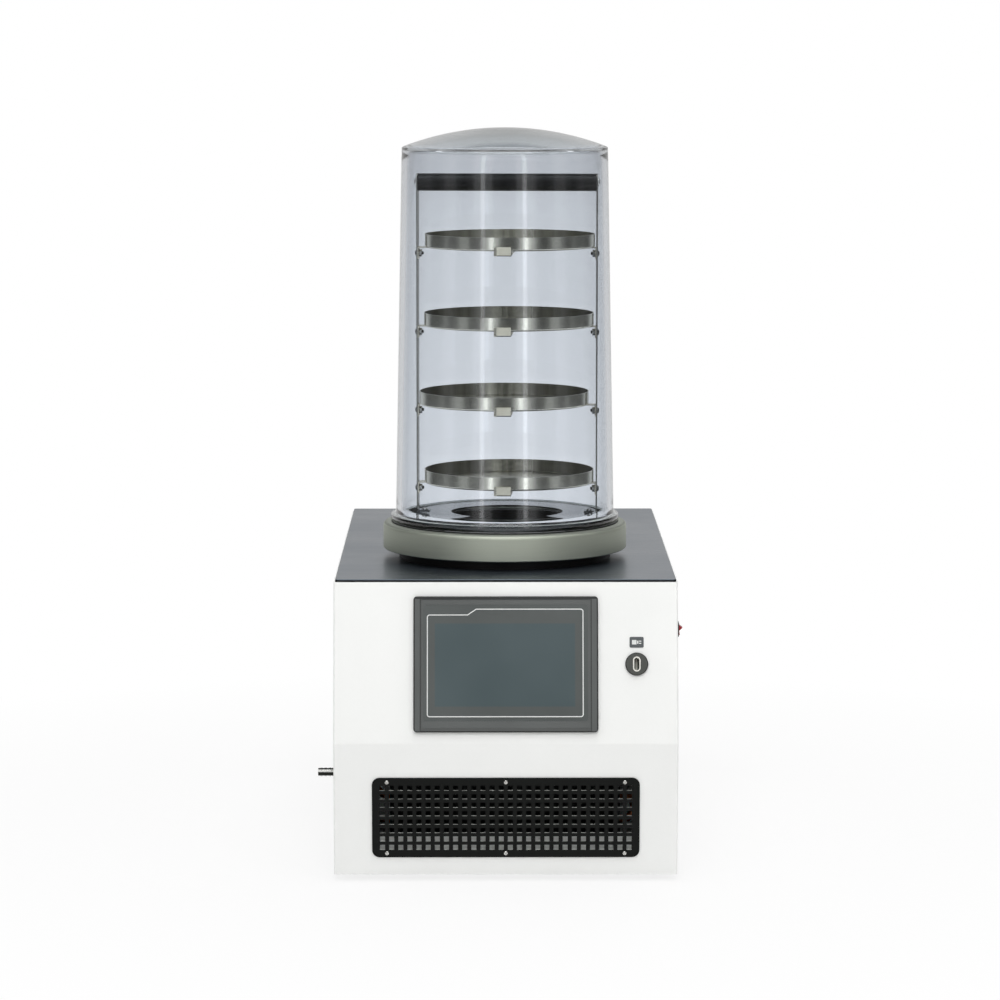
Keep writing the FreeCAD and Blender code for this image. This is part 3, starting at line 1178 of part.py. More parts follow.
# ================================================================ refrigeration set
def condenser_fins():
    """Fin block standing on the base pan, grooved front and back, with bores for the tubes."""
    x0 = -CONDENSER_WIDTH / 2
    pitch = CONDENSER_WIDTH / CONDENSER_FINS
    land = pitch * FIN_SHARE
    front = []
    for index in range(CONDENSER_FINS):
        left = x0 + index * pitch
        front += [(left, 0), (left + land, 0), (left + land, FIN_GROOVE), (left + pitch, FIN_GROOVE)]
    front[-1] = (-x0 - land, FIN_GROOVE)
    front += [(-x0 - land, 0), (-x0, 0)]
    back = [(x, CONDENSER_DEPTH - y) for x, y in reversed(front)]
    points = [Vec(x, CONDENSER_Y + y, FLOOR) for x, y in front + back]
    block = polygon_face(points).extrude(Vec(0, 0, CONDENSER_HEIGHT))
    bores = [cylinder(CONDENSER_TUBE + RUN, Vec(x0 - 1, y, z), X_AXIS, CONDENSER_WIDTH + 2)
             for y, z in condenser_grid()]
    return block.cut(bores)


def condenser_grid():
    """Tube axes, from the bottom up."""
    pitch = CONDENSER_HEIGHT / CONDENSER_ROWS
    return [(CONDENSER_Y + CONDENSER_DEPTH / 2, FLOOR + pitch * (k + 0.5)) for k in range(CONDENSER_ROWS)]


def condenser_tubes():
    """Serpentine tube through the fin block, with bends at alternate ends."""
    grid = condenser_grid()
    end = condenser_end()
    bend = (grid[1][1] - grid[0][1]) / 2
    points = [(-end, *grid[0])]
    for index, (y, z) in enumerate(grid[:-1]):
        x = (end + bend) * (1 if index % 2 == 0 else -1)
        points += [(x, y, z), (x, y, grid[index + 1][1])]
    last_side = 1 if len(grid) % 2 else -1
    points.append((last_side * end, *grid[-1]))
    return bent_tube(points, bend, CONDENSER_TUBE)


def condenser_end():
    """Distance from the middle to where the tubes' bends begin."""
    return CONDENSER_WIDTH / 2 + 3


def fan_axis():
    """Front face of the shroud and height of the fan's axis."""
    return CONDENSER_Y + CONDENSER_DEPTH, FLOOR + CONDENSER_HEIGHT / 2


def fan_shroud():
    """Sheet box behind the condenser with a round duct for the fan."""
    y0, z = fan_axis()
    half = CONDENSER_WIDTH / 2
    shell = box(-half, half, y0, y0 + SHROUD_DEPTH, FLOOR, FLOOR + CONDENSER_HEIGHT)
    hollow = box(-half + SHROUD_SHEET, half - SHROUD_SHEET, y0 - 1, y0 + SHROUD_DEPTH - SHROUD_SHEET,
                 FLOOR + SHROUD_SHEET, FLOOR + CONDENSER_HEIGHT - SHROUD_SHEET)
    duct = FAN_RADIUS + FAN_TIP_GAP
    ring = cylinder(duct + SHROUD_SHEET, Vec(0, y0 + SHROUD_DEPTH - SHROUD_SHEET, z), Y_AXIS, DUCT_DEPTH)
    way = cylinder(duct, Vec(0, y0 + 1, z), Y_AXIS, SHROUD_DEPTH + DUCT_DEPTH)
    return shell.cut(hollow).fuse(ring).cut(way)


def fan_blades():
    """Hub with pitched blades."""
    y0, z = fan_axis()
    start = y0 + SHROUD_DEPTH - FAN_SETBACK
    hub = tube(FAN_HUB_RADIUS, FAN_SHAFT_RADIUS + RUN, Vec(0, start, z), Y_AXIS, FAN_HUB_LENGTH)
    blade = fan_blade(start + FAN_HUB_LENGTH / 2, z)
    pieces = [blade.rotated(Vec(0, start, z), Y_AXIS, 360.0 * k / FAN_BLADES) for k in range(FAN_BLADES)]
    return hub.fuse(pieces).removeSplitter()


def fan_blade(y, z):
    """One cambered blade, wider at its tip, pitched about its radius."""
    def section(radius, chord):
        half = chord / 2
        camber = chord * BLADE_CAMBER
        upper = Part.Arc(Vec(-half, 0, 0), Vec(0, camber + FAN_BLADE_THICKNESS, 0), Vec(half, 0, 0)).toShape()
        lower = Part.Arc(Vec(half, 0, 0), Vec(0, camber, 0), Vec(-half, 0, 0)).toShape()
        wire = Part.Wire([upper, lower])
        wire.rotate(ORIGIN, Z_AXIS, FAN_BLADE_PITCH)
        wire.translate(Vec(0, y, z + radius))
        return wire
    root = section(FAN_HUB_RADIUS - FAN_SHAFT_RADIUS, BLADE_ROOT_CHORD)
    return Part.makeLoft([root, section(FAN_RADIUS - 1, BLADE_TIP_CHORD)], True, True)


def fan_motor():
    """Motor with its shaft forward through the hub."""
    z = fan_axis()[1]
    face = motor_face()
    shaft = cylinder(FAN_SHAFT_RADIUS, Vec(0, face - FAN_HUB_LENGTH - MOTOR_GAP / 2, z), Y_AXIS,
                     FAN_HUB_LENGTH + MOTOR_GAP)
    flat = MOTOR_RADIUS - MOTOR_EDGE
    can = turned([(0, 0), (flat, 0), (MOTOR_RADIUS, MOTOR_EDGE), (MOTOR_RADIUS, MOTOR_LENGTH - MOTOR_EDGE),
                  (flat, MOTOR_LENGTH), (0, MOTOR_LENGTH)])
    return rearward(can, 0, face, z).fuse(shaft)


def motor_face():
    """Front face of the fan's motor, behind the hub."""
    return fan_axis()[0] + SHROUD_DEPTH - FAN_SETBACK + FAN_HUB_LENGTH + MOTOR_GAP


def fan_bracket():
    """Two strips from the shroud to the back of the motor, joined behind it."""
    y0, z = fan_axis()
    back = motor_face() + MOTOR_LENGTH
    front = y0 + SHROUD_DEPTH
    reach = FAN_RADIUS + FAN_TIP_GAP + SHROUD_SHEET + BRACKET_REACH
    half = BRACKET_WIDTH / 2
    end = reach + BRACKET_SHEET
    bridge = box(-end, end, back, back + BRACKET_SHEET, z - half, z + half)
    for side in (-1, 1):
        x0, x1 = sorted((side * reach, side * (reach + BRACKET_SHEET)))
        bridge = bridge.fuse(box(x0, x1, front, back + BRACKET_SHEET, z - half, z + half))
        x0, x1 = sorted((side * reach, side * (reach + BRACKET_WIDTH)))
        bridge = bridge.fuse(box(x0, x1, front, front + BRACKET_SHEET, z - half, z + half))
    return bridge.removeSplitter()


def compressor_base():
    """Underside of the compressor's plate."""
    return FLOOR + MOUNT_HEIGHT


def mount_places():
    """Corners of the compressor's plate."""
    dx = COMPRESSOR_PLATE_X / 2 - MOUNT_RADIUS - 1
    dy = COMPRESSOR_PLATE_Y / 2 - MOUNT_RADIUS - 1
    return [(COMPRESSOR_X + sx * dx, COMPRESSOR_Y + sy * dy) for sx in (-1, 1) for sy in (-1, 1)]


def compressor():
    """Hermetic can with a seam, a base plate and two pipe stubs."""
    r, h = COMPRESSOR_RADIUS, COMPRESSOR_HEIGHT
    seam = h * SEAM_SHARE
    upper = r - LID_STEP
    can = turned([(0, 0), (r - FOOT_INSET, 0, FOOT_ROUND / 5), (r, FOOT_ROUND), (r, seam),
                  (r + SEAM_LIP, seam), (r + SEAM_LIP, seam + SEAM_HEIGHT), (upper, seam + SEAM_HEIGHT),
                  (upper, h - DOME_INSET, DOME_INSET / 4),
                  (r - DOME_INSET, h - DOME_RISE, DOME_RISE / 2), (0, h)])
    plate = rounded_plate(COMPRESSOR_PLATE_X, COMPRESSOR_PLATE_Y, MOUNT_RADIUS, -COMPRESSOR_PLATE, 0)
    unit = moved_to(can.fuse(plate), COMPRESSOR_X, COMPRESSOR_Y, compressor_base() + COMPRESSOR_PLATE)
    stub = cylinder(PIPE_RADIUS + LID_STEP, Vec(*discharge_start()), Y_AXIS, DISCHARGE_X)
    riser = cylinder(SUCTION_RADIUS + LID_STEP, Vec(*suction_end()) - Z_AXIS * FOOT_ROUND, Z_AXIS, FOOT_ROUND)
    bores = [cylinder(MOUNT_BORE, Vec(x, y, FLOOR), Z_AXIS, MOUNT_HEIGHT + 2 * COMPRESSOR_PLATE)
             for x, y in mount_places()]
    return unit.fuse([stub, riser]).cut(bores)


def discharge_start():
    """End of the compressor's discharge stub, level with the condenser's top tube."""
    reach = math.sqrt(COMPRESSOR_RADIUS ** 2 - DISCHARGE_X ** 2) + 3 * STUB_REACH
    return COMPRESSOR_X + DISCHARGE_X, COMPRESSOR_Y - reach, condenser_grid()[-1][1]


def suction_end():
    """Top of the compressor's suction stub."""
    top = compressor_base() + COMPRESSOR_PLATE + COMPRESSOR_HEIGHT + STUB_REACH
    return COMPRESSOR_X + SUCTION_X, COMPRESSOR_Y + SUCTION_Y, top


def compressor_mounts():
    """Rubber grommets between the base pan and the compressor's plate."""
    stud_top = MOUNT_HEIGHT + COMPRESSOR_PLATE + LID_STEP
    mount = turned([(0, 0), (MOUNT_RADIUS, 0), (MOUNT_RADIUS, MOUNT_LIP),
                    (MOUNT_RADIUS - MOUNT_LIP, MOUNT_HEIGHT / 2),
                    (MOUNT_RADIUS, MOUNT_HEIGHT - MOUNT_LIP), (MOUNT_RADIUS, MOUNT_HEIGHT),
                    (MOUNT_STUD, MOUNT_HEIGHT), (MOUNT_STUD, stud_top), (0, stud_top)])
    return Part.makeCompound([moved_to(mount, x, y, FLOOR) for x, y in mount_places()])


def control_box():
    """Closed electrical box on the rear panel with a lip round its lid."""
    x0, x1 = BOX_X - BOX_WIDTH / 2, BOX_X + BOX_WIDTH / 2
    y1 = REAR_INSIDE
    case = box(x0, x1, y1 - BOX_DEPTH, y1, BOX_Z, BOX_Z + BOX_HEIGHT)
    lid = box(x0 - LID_LIP, x1 + LID_LIP, y1 - BOX_DEPTH, y1 - BOX_DEPTH + LID_DEPTH,
              BOX_Z - LID_LIP, BOX_Z + BOX_HEIGHT + LID_LIP)
    return case.fuse(lid)


def inlet_body_width():
    """Width of the inlet's body behind the rear panel."""
    return RECESS_WIDTH + 2 * INLET_WALL


def inlet_body_height():
    """Height of the inlet's body behind the rear panel."""
    return RECESS_HEIGHT + 2 * INLET_WALL


def power_inlet():
    """Mains inlet: a flange outside, a body behind, a recess with two cut corners and three blades."""
    flange = rounded_plate(INLET_WIDTH, INLET_HEIGHT, INLET_WALL * 2, 0, INLET_FLANGE)
    half_width, half_height = inlet_body_width() / 2, inlet_body_height() / 2
    body = box(-half_width, half_width, -half_height, half_height, -INLET_DEPTH, 0)
    x, y, floor = RECESS_WIDTH / 2, RECESS_HEIGHT / 2, -RECESS_DEPTH
    corners = [(-x, -y), (x, -y), (x, y - RECESS_CORNER), (x - RECESS_CORNER, y), (RECESS_CORNER - x, y),
               (-x, y - RECESS_CORNER)]
    recess = polygon_face([Vec(px, py, floor) for px, py in corners]).extrude(Z_AXIS * INLET_DEPTH)
    blades = [box(px - BLADE_WIDTH / 2, px + BLADE_WIDTH / 2, py - BLADE_HEIGHT / 2, py + BLADE_HEIGHT / 2,
                  floor - 1, -BLADE_SETBACK) for px, py in BLADE_PLACES]
    return rearward(flange.fuse(body).cut(recess).fuse(blades), INLET_X, DEPTH, INLET_Z)


def refrigerant_pipes():
    """Copper lines of the refrigeration circuit."""
    return Part.makeCompound([discharge_pipe(), suction_pipe(), liquid_pipe(), capillary_tube()])


def discharge_pipe():
    """Hot-gas line from the compressor to the condenser's top tube."""
    x, y, z = discharge_start()
    side = condenser_end() + PIPE_SIDE
    entry = condenser_grid()[-1][0]
    turn = y - 2 * BEND_RADIUS
    points = [(x, y, z), (x, turn, z), (side, turn, z), (side, entry, z), (condenser_end(), entry, z)]
    return bent_tube(points, BEND_RADIUS, PIPE_RADIUS)


def suction_pipe():
    """Cold-gas line from the coil's tail to the top of the compressor."""
    x, y, z = suction_end()
    start = Vec(-COIL_RADIUS, JAR_Y + coil_tail(), coil_bottom())
    return bent_tube([start, (start.x, y - 3 * BEND_RADIUS, start.z), (x, y, start.z), (x, y, z)],
                     BEND_RADIUS * 0.8, SUCTION_RADIUS)


def drier_x():
    """The filter drier stands beside the fin block."""
    return -condenser_end() - PIPE_SIDE + 7


def liquid_pipe():
    """Line from the condenser's bottom tube to the filter drier."""
    y, z = condenser_grid()[0]
    return bent_tube([(-condenser_end(), y, z), (drier_x(), y, z), (drier_x(), DRIER_Y, z),
                      (drier_x(), DRIER_Y, DRIER_BOTTOM)], BEND_RADIUS, PIPE_RADIUS)


def filter_drier():
    """Copper cartridge with necked ends, upright between the liquid line and the capillary."""
    r, n, h = DRIER_RADIUS, DRIER_NECK, DRIER_LENGTH
    drier = turned([(0, 0), (PIPE_RADIUS + 1, 0), (PIPE_RADIUS + 1, n / 2), (r, 1.5 * n), (r, h - 1.5 * n),
                    (CAPILLARY_RADIUS + 2, h - n / 2), (CAPILLARY_RADIUS + 2, h), (0, h)])
    return moved_to(drier, drier_x(), DRIER_Y, DRIER_BOTTOM)


def capillary_z():
    """The capillary joins the coil's top turn."""
    return coil_bottom() + (COIL_TURNS - 1) * COIL_PITCH


def capillary_tube():
    """Thin tube from the drier up and through the jacket to the coil."""
    top = DRIER_BOTTOM + DRIER_LENGTH
    inward = Vec(0, JAR_Y, 0) - Vec(drier_x(), DRIER_Y, 0)
    reach = inward.Length - COIL_RADIUS - COIL_TUBE - SLIDE
    end = Vec(drier_x(), DRIER_Y, capillary_z()) + inward.normalize() * reach
    return bent_tube([(drier_x(), DRIER_Y, top), (drier_x(), DRIER_Y, capillary_z()), end], BEND_RADIUS,
                     CAPILLARY_RADIUS)


NODES = {
    "base_pan": base_pan, "front_panel": front_panel, "rear_panel": rear_panel, "top_plate": top_plate,
    "rubber_feet": rubber_feet, "panel_screws": panel_screws,
    "grille_plate": grille_plate, "grille_screws": grille_screws,
    "touch_panel_frame": touch_panel_frame, "touch_screen": touch_screen,
    "touch_panel_housing": touch_panel_housing, "touch_panel_clamps": touch_panel_clamps,
    "usb_socket_body": usb_socket_body, "usb_socket_shell": usb_socket_shell, "usb_nut": usb_nut,
    "usb_label": usb_label, "switch_frame": switch_frame, "switch_rocker": switch_rocker,
    "collar": collar, "chamber_base_ring": chamber_base_ring, "trap_vessel": trap_vessel,
    "trap_coil": trap_coil, "trap_insulation": trap_insulation,
    "chamber_seal": chamber_seal, "bell_jar": bell_jar,
    "rack_base_disc": rack_base_disc, "disc_feet": disc_feet,
    "rack_handle": rack_handle, "handle_screws": handle_screws,
    "rack_screws": rack_screws, "shelf_nuts": shelf_nuts,
    "drain_nozzle": drain_nozzle, "drain_nut": drain_nut, "drain_tube": drain_tube,
    "vacuum_pipe": vacuum_pipe, "vacuum_port": vacuum_port,
    "condenser_fins": condenser_fins, "condenser_tubes": condenser_tubes, "fan_shroud": fan_shroud,
    "fan_blades": fan_blades, "fan_motor": fan_motor, "fan_bracket": fan_bracket,
    "compressor": compressor, "compressor_mounts": compressor_mounts, "control_box": control_box,
    "power_inlet": power_inlet,
    "refrigerant_pipes": refrigerant_pipes, "filter_drier": filter_drier,
}


def build_all():
    """Every node's shape in the working frame."""
    shapes = {name: make() for name, make in NODES.items()}
    shapes["left_side_panel"] = side_panel(-1)
    shapes["right_side_panel"] = side_panel(1)
    shapes["left_upright"] = upright(-1)
    shapes["right_upright"] = upright(1)
    for index in range(TRAYS):
        shapes["shelf_%d" % (index + 1)] = shelf(index)
        shapes["tray_%d" % (index + 1)] = tray(index)
    return shapes


def main():
    """Build, centre on the whole outline and write one STEP file a node."""
    os.makedirs("parts", exist_ok=True)
    shapes = build_all()
    outline = FreeCAD.BoundBox()
    for shape in shapes.values():
        outline.add(shape.optimalBoundingBox(False))
    shift = Vec(-outline.Center.x, -outline.Center.y, -outline.ZMin)
    for name, shape in sorted(shapes.items()):
        node = moved_to(shape, shift.x, shift.y, shift.z)
        node.exportStep("parts/%s.step" % name)
        print("%-22s solids %d  volume %.0f  valid %s"
              % (name, len(node.Solids), node.Volume, node.isValid()))
    print("outline %.2f x %.2f x %.2f, shift %.3f %.3f %.3f"
          % (outline.XLength, outline.YLength, outline.ZLength, shift.x, shift.y, shift.z))


main()
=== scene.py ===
import logging
import math
from dataclasses import dataclass, replace
from enum import Enum

import bpy
import numpy as np
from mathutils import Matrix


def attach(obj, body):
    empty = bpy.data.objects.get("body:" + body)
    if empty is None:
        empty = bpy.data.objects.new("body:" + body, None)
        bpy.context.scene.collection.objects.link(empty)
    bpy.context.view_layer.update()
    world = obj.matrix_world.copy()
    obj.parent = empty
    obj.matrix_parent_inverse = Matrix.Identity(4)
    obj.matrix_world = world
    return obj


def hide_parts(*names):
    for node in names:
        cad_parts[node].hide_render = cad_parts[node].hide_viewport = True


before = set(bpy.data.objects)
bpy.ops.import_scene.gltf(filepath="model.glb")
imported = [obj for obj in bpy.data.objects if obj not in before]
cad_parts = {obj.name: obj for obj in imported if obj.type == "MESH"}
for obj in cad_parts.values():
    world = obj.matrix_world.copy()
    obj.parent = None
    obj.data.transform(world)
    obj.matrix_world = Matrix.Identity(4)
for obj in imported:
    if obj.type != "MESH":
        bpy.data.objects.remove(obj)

LOG = logging.getLogger("freeze_dryer")
MM = 0.001
CABINET = "cabinet"
UPPER_LEAN = 11.71      # the upper front leans back by this, in degrees
LOWER_LEAN = -4.40      # and the lower front by this
RACK_TURN = math.radians(-3.3)
JAR_AXIS = (6.65, -113.548, 0.0)
RACK_AXIS = (9.15, -113.548, 0.0)
RING_TOP = 380.8
UPRIGHT_OUTSIDE = 105.3  # from the rack's axis
Socket = bpy.types.NodeSocket
Tree = bpy.types.NodeTree
Node = bpy.types.Node
Material = bpy.types.Material
Thing = bpy.types.Object
Pair = tuple[float, float]
Triple = tuple[float, float, float]
Four = tuple[float, float, float, float]
Profile = list[Pair]
Skin = tuple[np.ndarray, list[np.ndarray]]


# ================================================================ colour and frames
def linear(red: float, green: float, blue: float) -> Triple:
    """Turns a display colour of 0 to 255 into the linear colour that a shader takes.

    Args:
        red, green, blue: the display values.

    Returns:
        The three linear values, by the usual display curve.
    """
    share = np.array([red, green, blue]) / 255.0
    curve = np.where(share <= 0.04045, share / 12.92, ((share + 0.055) / 1.055) ** 2.4)
    return float(curve[0]), float(curve[1]), float(curve[2])


@dataclass(frozen=True)
class Plane:
    """A flat local frame: a point P(u, v, w) = origin + u right + v up + w out, in millimetres."""

    origin: Triple
    right: Triple
    up: Triple
    out: Triple

    def place(self, points: np.ndarray) -> np.ndarray:
        """Carries local millimetre points into the row frame.

        Args:
            points: an array of n rows of u, v, w.

        Returns:
            The n points in metres.
        """
        axes = np.array([self.right, self.up, self.out], float)
        return (np.array(self.origin, float) + points @ axes) * MM


def leaning_plane(lean: float) -> Plane:
    """The outer face of the upper or lower front, from the middle of the fold.

    Args:
        lean: how far it leans back, in degrees.

    Returns:
        The plane.
    """
    a = math.radians(lean)
    return Plane((6.65, -351.648, 158.8), (1, 0, 0), (0, math.sin(a), math.cos(a)),
                 (0, -math.cos(a), math.sin(a)))


UPPER_FRONT = leaning_plane(UPPER_LEAN)
LOWER_FRONT = leaning_plane(LOWER_LEAN)
REAR = Plane((6.65, 333.652, 8.0), (-1, 0, 0), (0, 0, 1), (0, 1, 0))


Place = tuple[Plane, float, float, float]


def rack_plane(side: int) -> Plane:
    """The outside of an upright: u along the rack's depth, v up from the ring, w outward.

    Args:
        side: -1 for the left upright, 1 for the right one.

    Returns:
        The plane, turned with the rack about the jar's axis.
    """
    across = (math.cos(RACK_TURN), math.sin(RACK_TURN))
    reach = side * UPRIGHT_OUTSIDE
    origin = (RACK_AXIS[0] + reach * across[0], RACK_AXIS[1] + reach * across[1], RING_TOP)
    return Plane(origin, (-side * across[1], side * across[0], 0), (0, 0, 1),
                 (side * across[0], side * across[1], 0))


# ================================================================ shader graphs
class Graph:
    """A node tree with short calls to add nodes and join their sockets."""

    def __init__(self, tree: Tree) -> None:
        """Keeps the tree that the nodes go into."""
        self.tree = tree

    def add(self, kind: str, **settings: object) -> Node:
        """Adds a node and sets its properties.

        Args:
            kind: the node's type name.
            settings: property names and values.

        Returns:
            The new node.
        """
        node = self.tree.nodes.new(kind)
        for name, value in settings.items():
            setattr(node, name, value)
        return node

    def join(self, source: Socket, target: Socket) -> None:
        """Links an output to an input."""
        self.tree.links.new(source, target)

    def math(self, operation: str, *values: object) -> Socket:
        """Adds a Math node.

        Args:
            operation: what it does.
            values: its inputs, numbers or sockets.

        Returns:
            Its output.
        """
        node = self.add("ShaderNodeMath", operation=operation)
        for index, value in enumerate(values):
            self.feed(value, node.inputs[index])
        return node.outputs[0]

    def feed(self, value: object, target: Socket) -> None:
        """Joins a socket, or sets a plain number, vector or colour, on an input.

        Args:
            value: a socket, a number, or three numbers.
            target: the input. A colour gets an alpha of 1.
        """
        if isinstance(value, Socket):
            self.join(value, target)
        elif target.type == "RGBA":
            target.default_value = tuple(value) + (1.0,)
        else:
            target.default_value = value

    def fill(self, node: Node, **values: object) -> Node:
        """Feeds a node's inputs by name.

        Args:
            node: the node.
            values: a value or a socket for each input, with _ for a space in its name.

        Returns:
            The same node.
        """
        for name, value in values.items():
            self.feed(value, node.inputs[name.replace("_", " ")])
        return node

    def vector(self, operation: str, *values: object) -> Node:
        """Adds a Vector Math node.

        Args:
            operation: what it does.
            values: its inputs, triples or sockets.

        Returns:
            The node, because some operations give a number in an output of their own.
        """
        node = self.add("ShaderNodeVectorMath", operation=operation)
        for index, value in enumerate(values):
            self.feed(value, node.inputs[index])
        return node

    def space(self, name: str = "Object") -> Socket:
        """The piece's own coordinates, or its normal."""
        return self.add("ShaderNodeTexCoord").outputs[name]

    def frame(self, place: Triple, turn: Triple) -> Socket:
        """Reads Object coordinates in a frame of their own.

        Args:
            place: the frame's origin, in metres.
            turn: its three angles, in degrees.

        Returns:
            The coordinates.
        """
        node = self.add("ShaderNodeMapping", vector_type="TEXTURE")
        angles = tuple(math.radians(angle) for angle in turn)
        return self.fill(node, Location=place, Rotation=angles, Vector=self.space()).outputs[0]

    def split(self, vector: Socket) -> bpy.types.NodeOutputs:
        """Takes a vector apart.

        Args:
            vector: the vector.

        Returns:
            Its X, Y and Z.
        """
        node = self.add("ShaderNodeSeparateXYZ")
        self.join(vector, node.inputs[0])
        return node.outputs

    def noise(self, vector: Socket, scale: object, detail: float = 2.0,
              roughness: float = 0.5) -> Socket:
        """Adds a Noise texture and returns its value.

        Args:
            vector: where it is read.
            scale: waves in a unit of the vector, a number or a socket.
            detail: how many finer layers it has.
            roughness: how strong the finer layers are.

        Returns:
            The noise, from 0 to 1.
        """
        node = self.add("ShaderNodeTexNoise")
        return self.fill(node, Vector=vector, Scale=scale, Detail=detail, Roughness=roughness).outputs["Fac"]

    def group(self, tree: Tree, **values: object) -> Node:
        """Adds a node group with its inputs set, as in fill."""
        return self.fill(self.add("ShaderNodeGroup", node_tree=tree), **values)

    def seen_plainly(self) -> Socket:
        """Tells what is seen straight, mirrored or through glass from light on surfaces.

        Returns:
            1 or 0.
        """
        rays = self.add("ShaderNodeLightPath").outputs
        return self.math("MAXIMUM", rays["Is Camera Ray"],
                         self.math("MAXIMUM", rays["Is Glossy Ray"], rays["Is Transmission Ray"]))

    def surface(self, factor: Socket, first: Node, second: Node) -> None:
        """Mixes two shaders and makes the mix the material's surface.

        Args:
            factor: 0 for the first and 1 for the second.
            first, second: the shaders.
        """
        mix = self.add("ShaderNodeMixShader")
        self.join(factor, mix.inputs[0])
        self.join(first.outputs[0], mix.inputs[1])
        self.join(second.outputs[0], mix.inputs[2])
        self.join(mix.outputs[0], self.tree.nodes["Material Output"].inputs["Surface"])

    def square_sum(self, first: Socket, second: Socket) -> Socket:
        """The sum of two squares."""
        return self.math("ADD", self.math("MULTIPLY", first, first), self.math("MULTIPLY", second, second))

    def past(self, value: Socket, reach: float, middle: float = 0.0) -> Socket:
        """How far a value lies past a reach on either side of a middle."""
        return self.math("SUBTRACT", self.math("ABSOLUTE", self.math("SUBTRACT", value, middle)), reach)

    def blend(self, factor: object, first: object, second: object) -> Socket:
        """Mixes two colours.

        Args:
            factor: 0 for the first and 1 for the second.
            first, second: triples or sockets.

        Returns:
            The mixed colour.
        """
        node = self.add("ShaderNodeMix", data_type="RGBA")
        for value, target in ((factor, node.inputs[0]), (first, node.inputs[6]), (second, node.inputs[7])):
            self.feed(value, target)
        return node.outputs[2]

    def span(self, value: object, low: float, high: float, to_low: object,
             to_high: float) -> Socket:
        """Maps a value from one range to another, clamped.

        Args:
            value: a number or a socket.
            low, high: the range that it comes from.
            to_low, to_high: the range that it goes to.

        Returns:
            The result.
        """
        node = self.add("ShaderNodeMapRange")
        for index, one in enumerate((value, low, high, to_low, to_high)):
            self.feed(one, node.inputs[index])
        return node.outputs[0]


def new_material(name: str) -> tuple[Material, Graph, Node]:
    """Makes a material with nodes.

    Args:
        name: the material's name.

    Returns:
        The material, its graph and its Principled shader.
    """
    made = bpy.data.materials.new(name)
    made.use_nodes = True
    return made, Graph(made.node_tree), made.node_tree.nodes["Principled BSDF"]


def new_group(name: str, inputs: dict[str, str], outputs: tuple[str, ...]) -> tuple[Graph, list, list]:
    """Makes an empty node group.

    Args:
        name: the group's name.
        inputs: each input's name and kind.
        outputs: the names of its outputs, which are numbers.

    Returns:
        Its graph, the inputs to read and the outputs to set.
    """
    tree = bpy.data.node_groups.new(name, "ShaderNodeTree")
    for one, kind in inputs.items():
        tree.interface.new_socket(one, in_out="INPUT", socket_type="NodeSocket" + kind)
    for one in outputs:
        tree.interface.new_socket(one, in_out="OUTPUT", socket_type="NodeSocketFloat")
    graph = Graph(tree)
    inward, outward = graph.add("NodeGroupInput").outputs, graph.add("NodeGroupOutput").inputs
    return graph, list(inward)[:len(inputs)], list(outward)[:len(outputs)]


class Grain(Enum):
    """How a finish's fine texture runs; each has a node group of its own."""

    SPRAYED = "sprayed_skin"
    MOULDED = "moulded_skin"
    BRUSHED = "brushed_lines"
    TURNED = "turned_rings"
    CAST = "cast_skin"
    # Painted streaks of reflection: noise read round the Z axis.
    STREAKED = "streaked_skin"


NOISE_DETAIL = {Grain.SPRAYED: 1.0, Grain.MOULDED: 3.0, Grain.CAST: 6.0}
NOISE_ROUGHNESS = {Grain.SPRAYED: 0.4, Grain.CAST: 0.65}
FINE_SHARE = {Grain.SPRAYED: 0.3, Grain.MOULDED: 0.5}
CLOUD_SCALE = 9.0


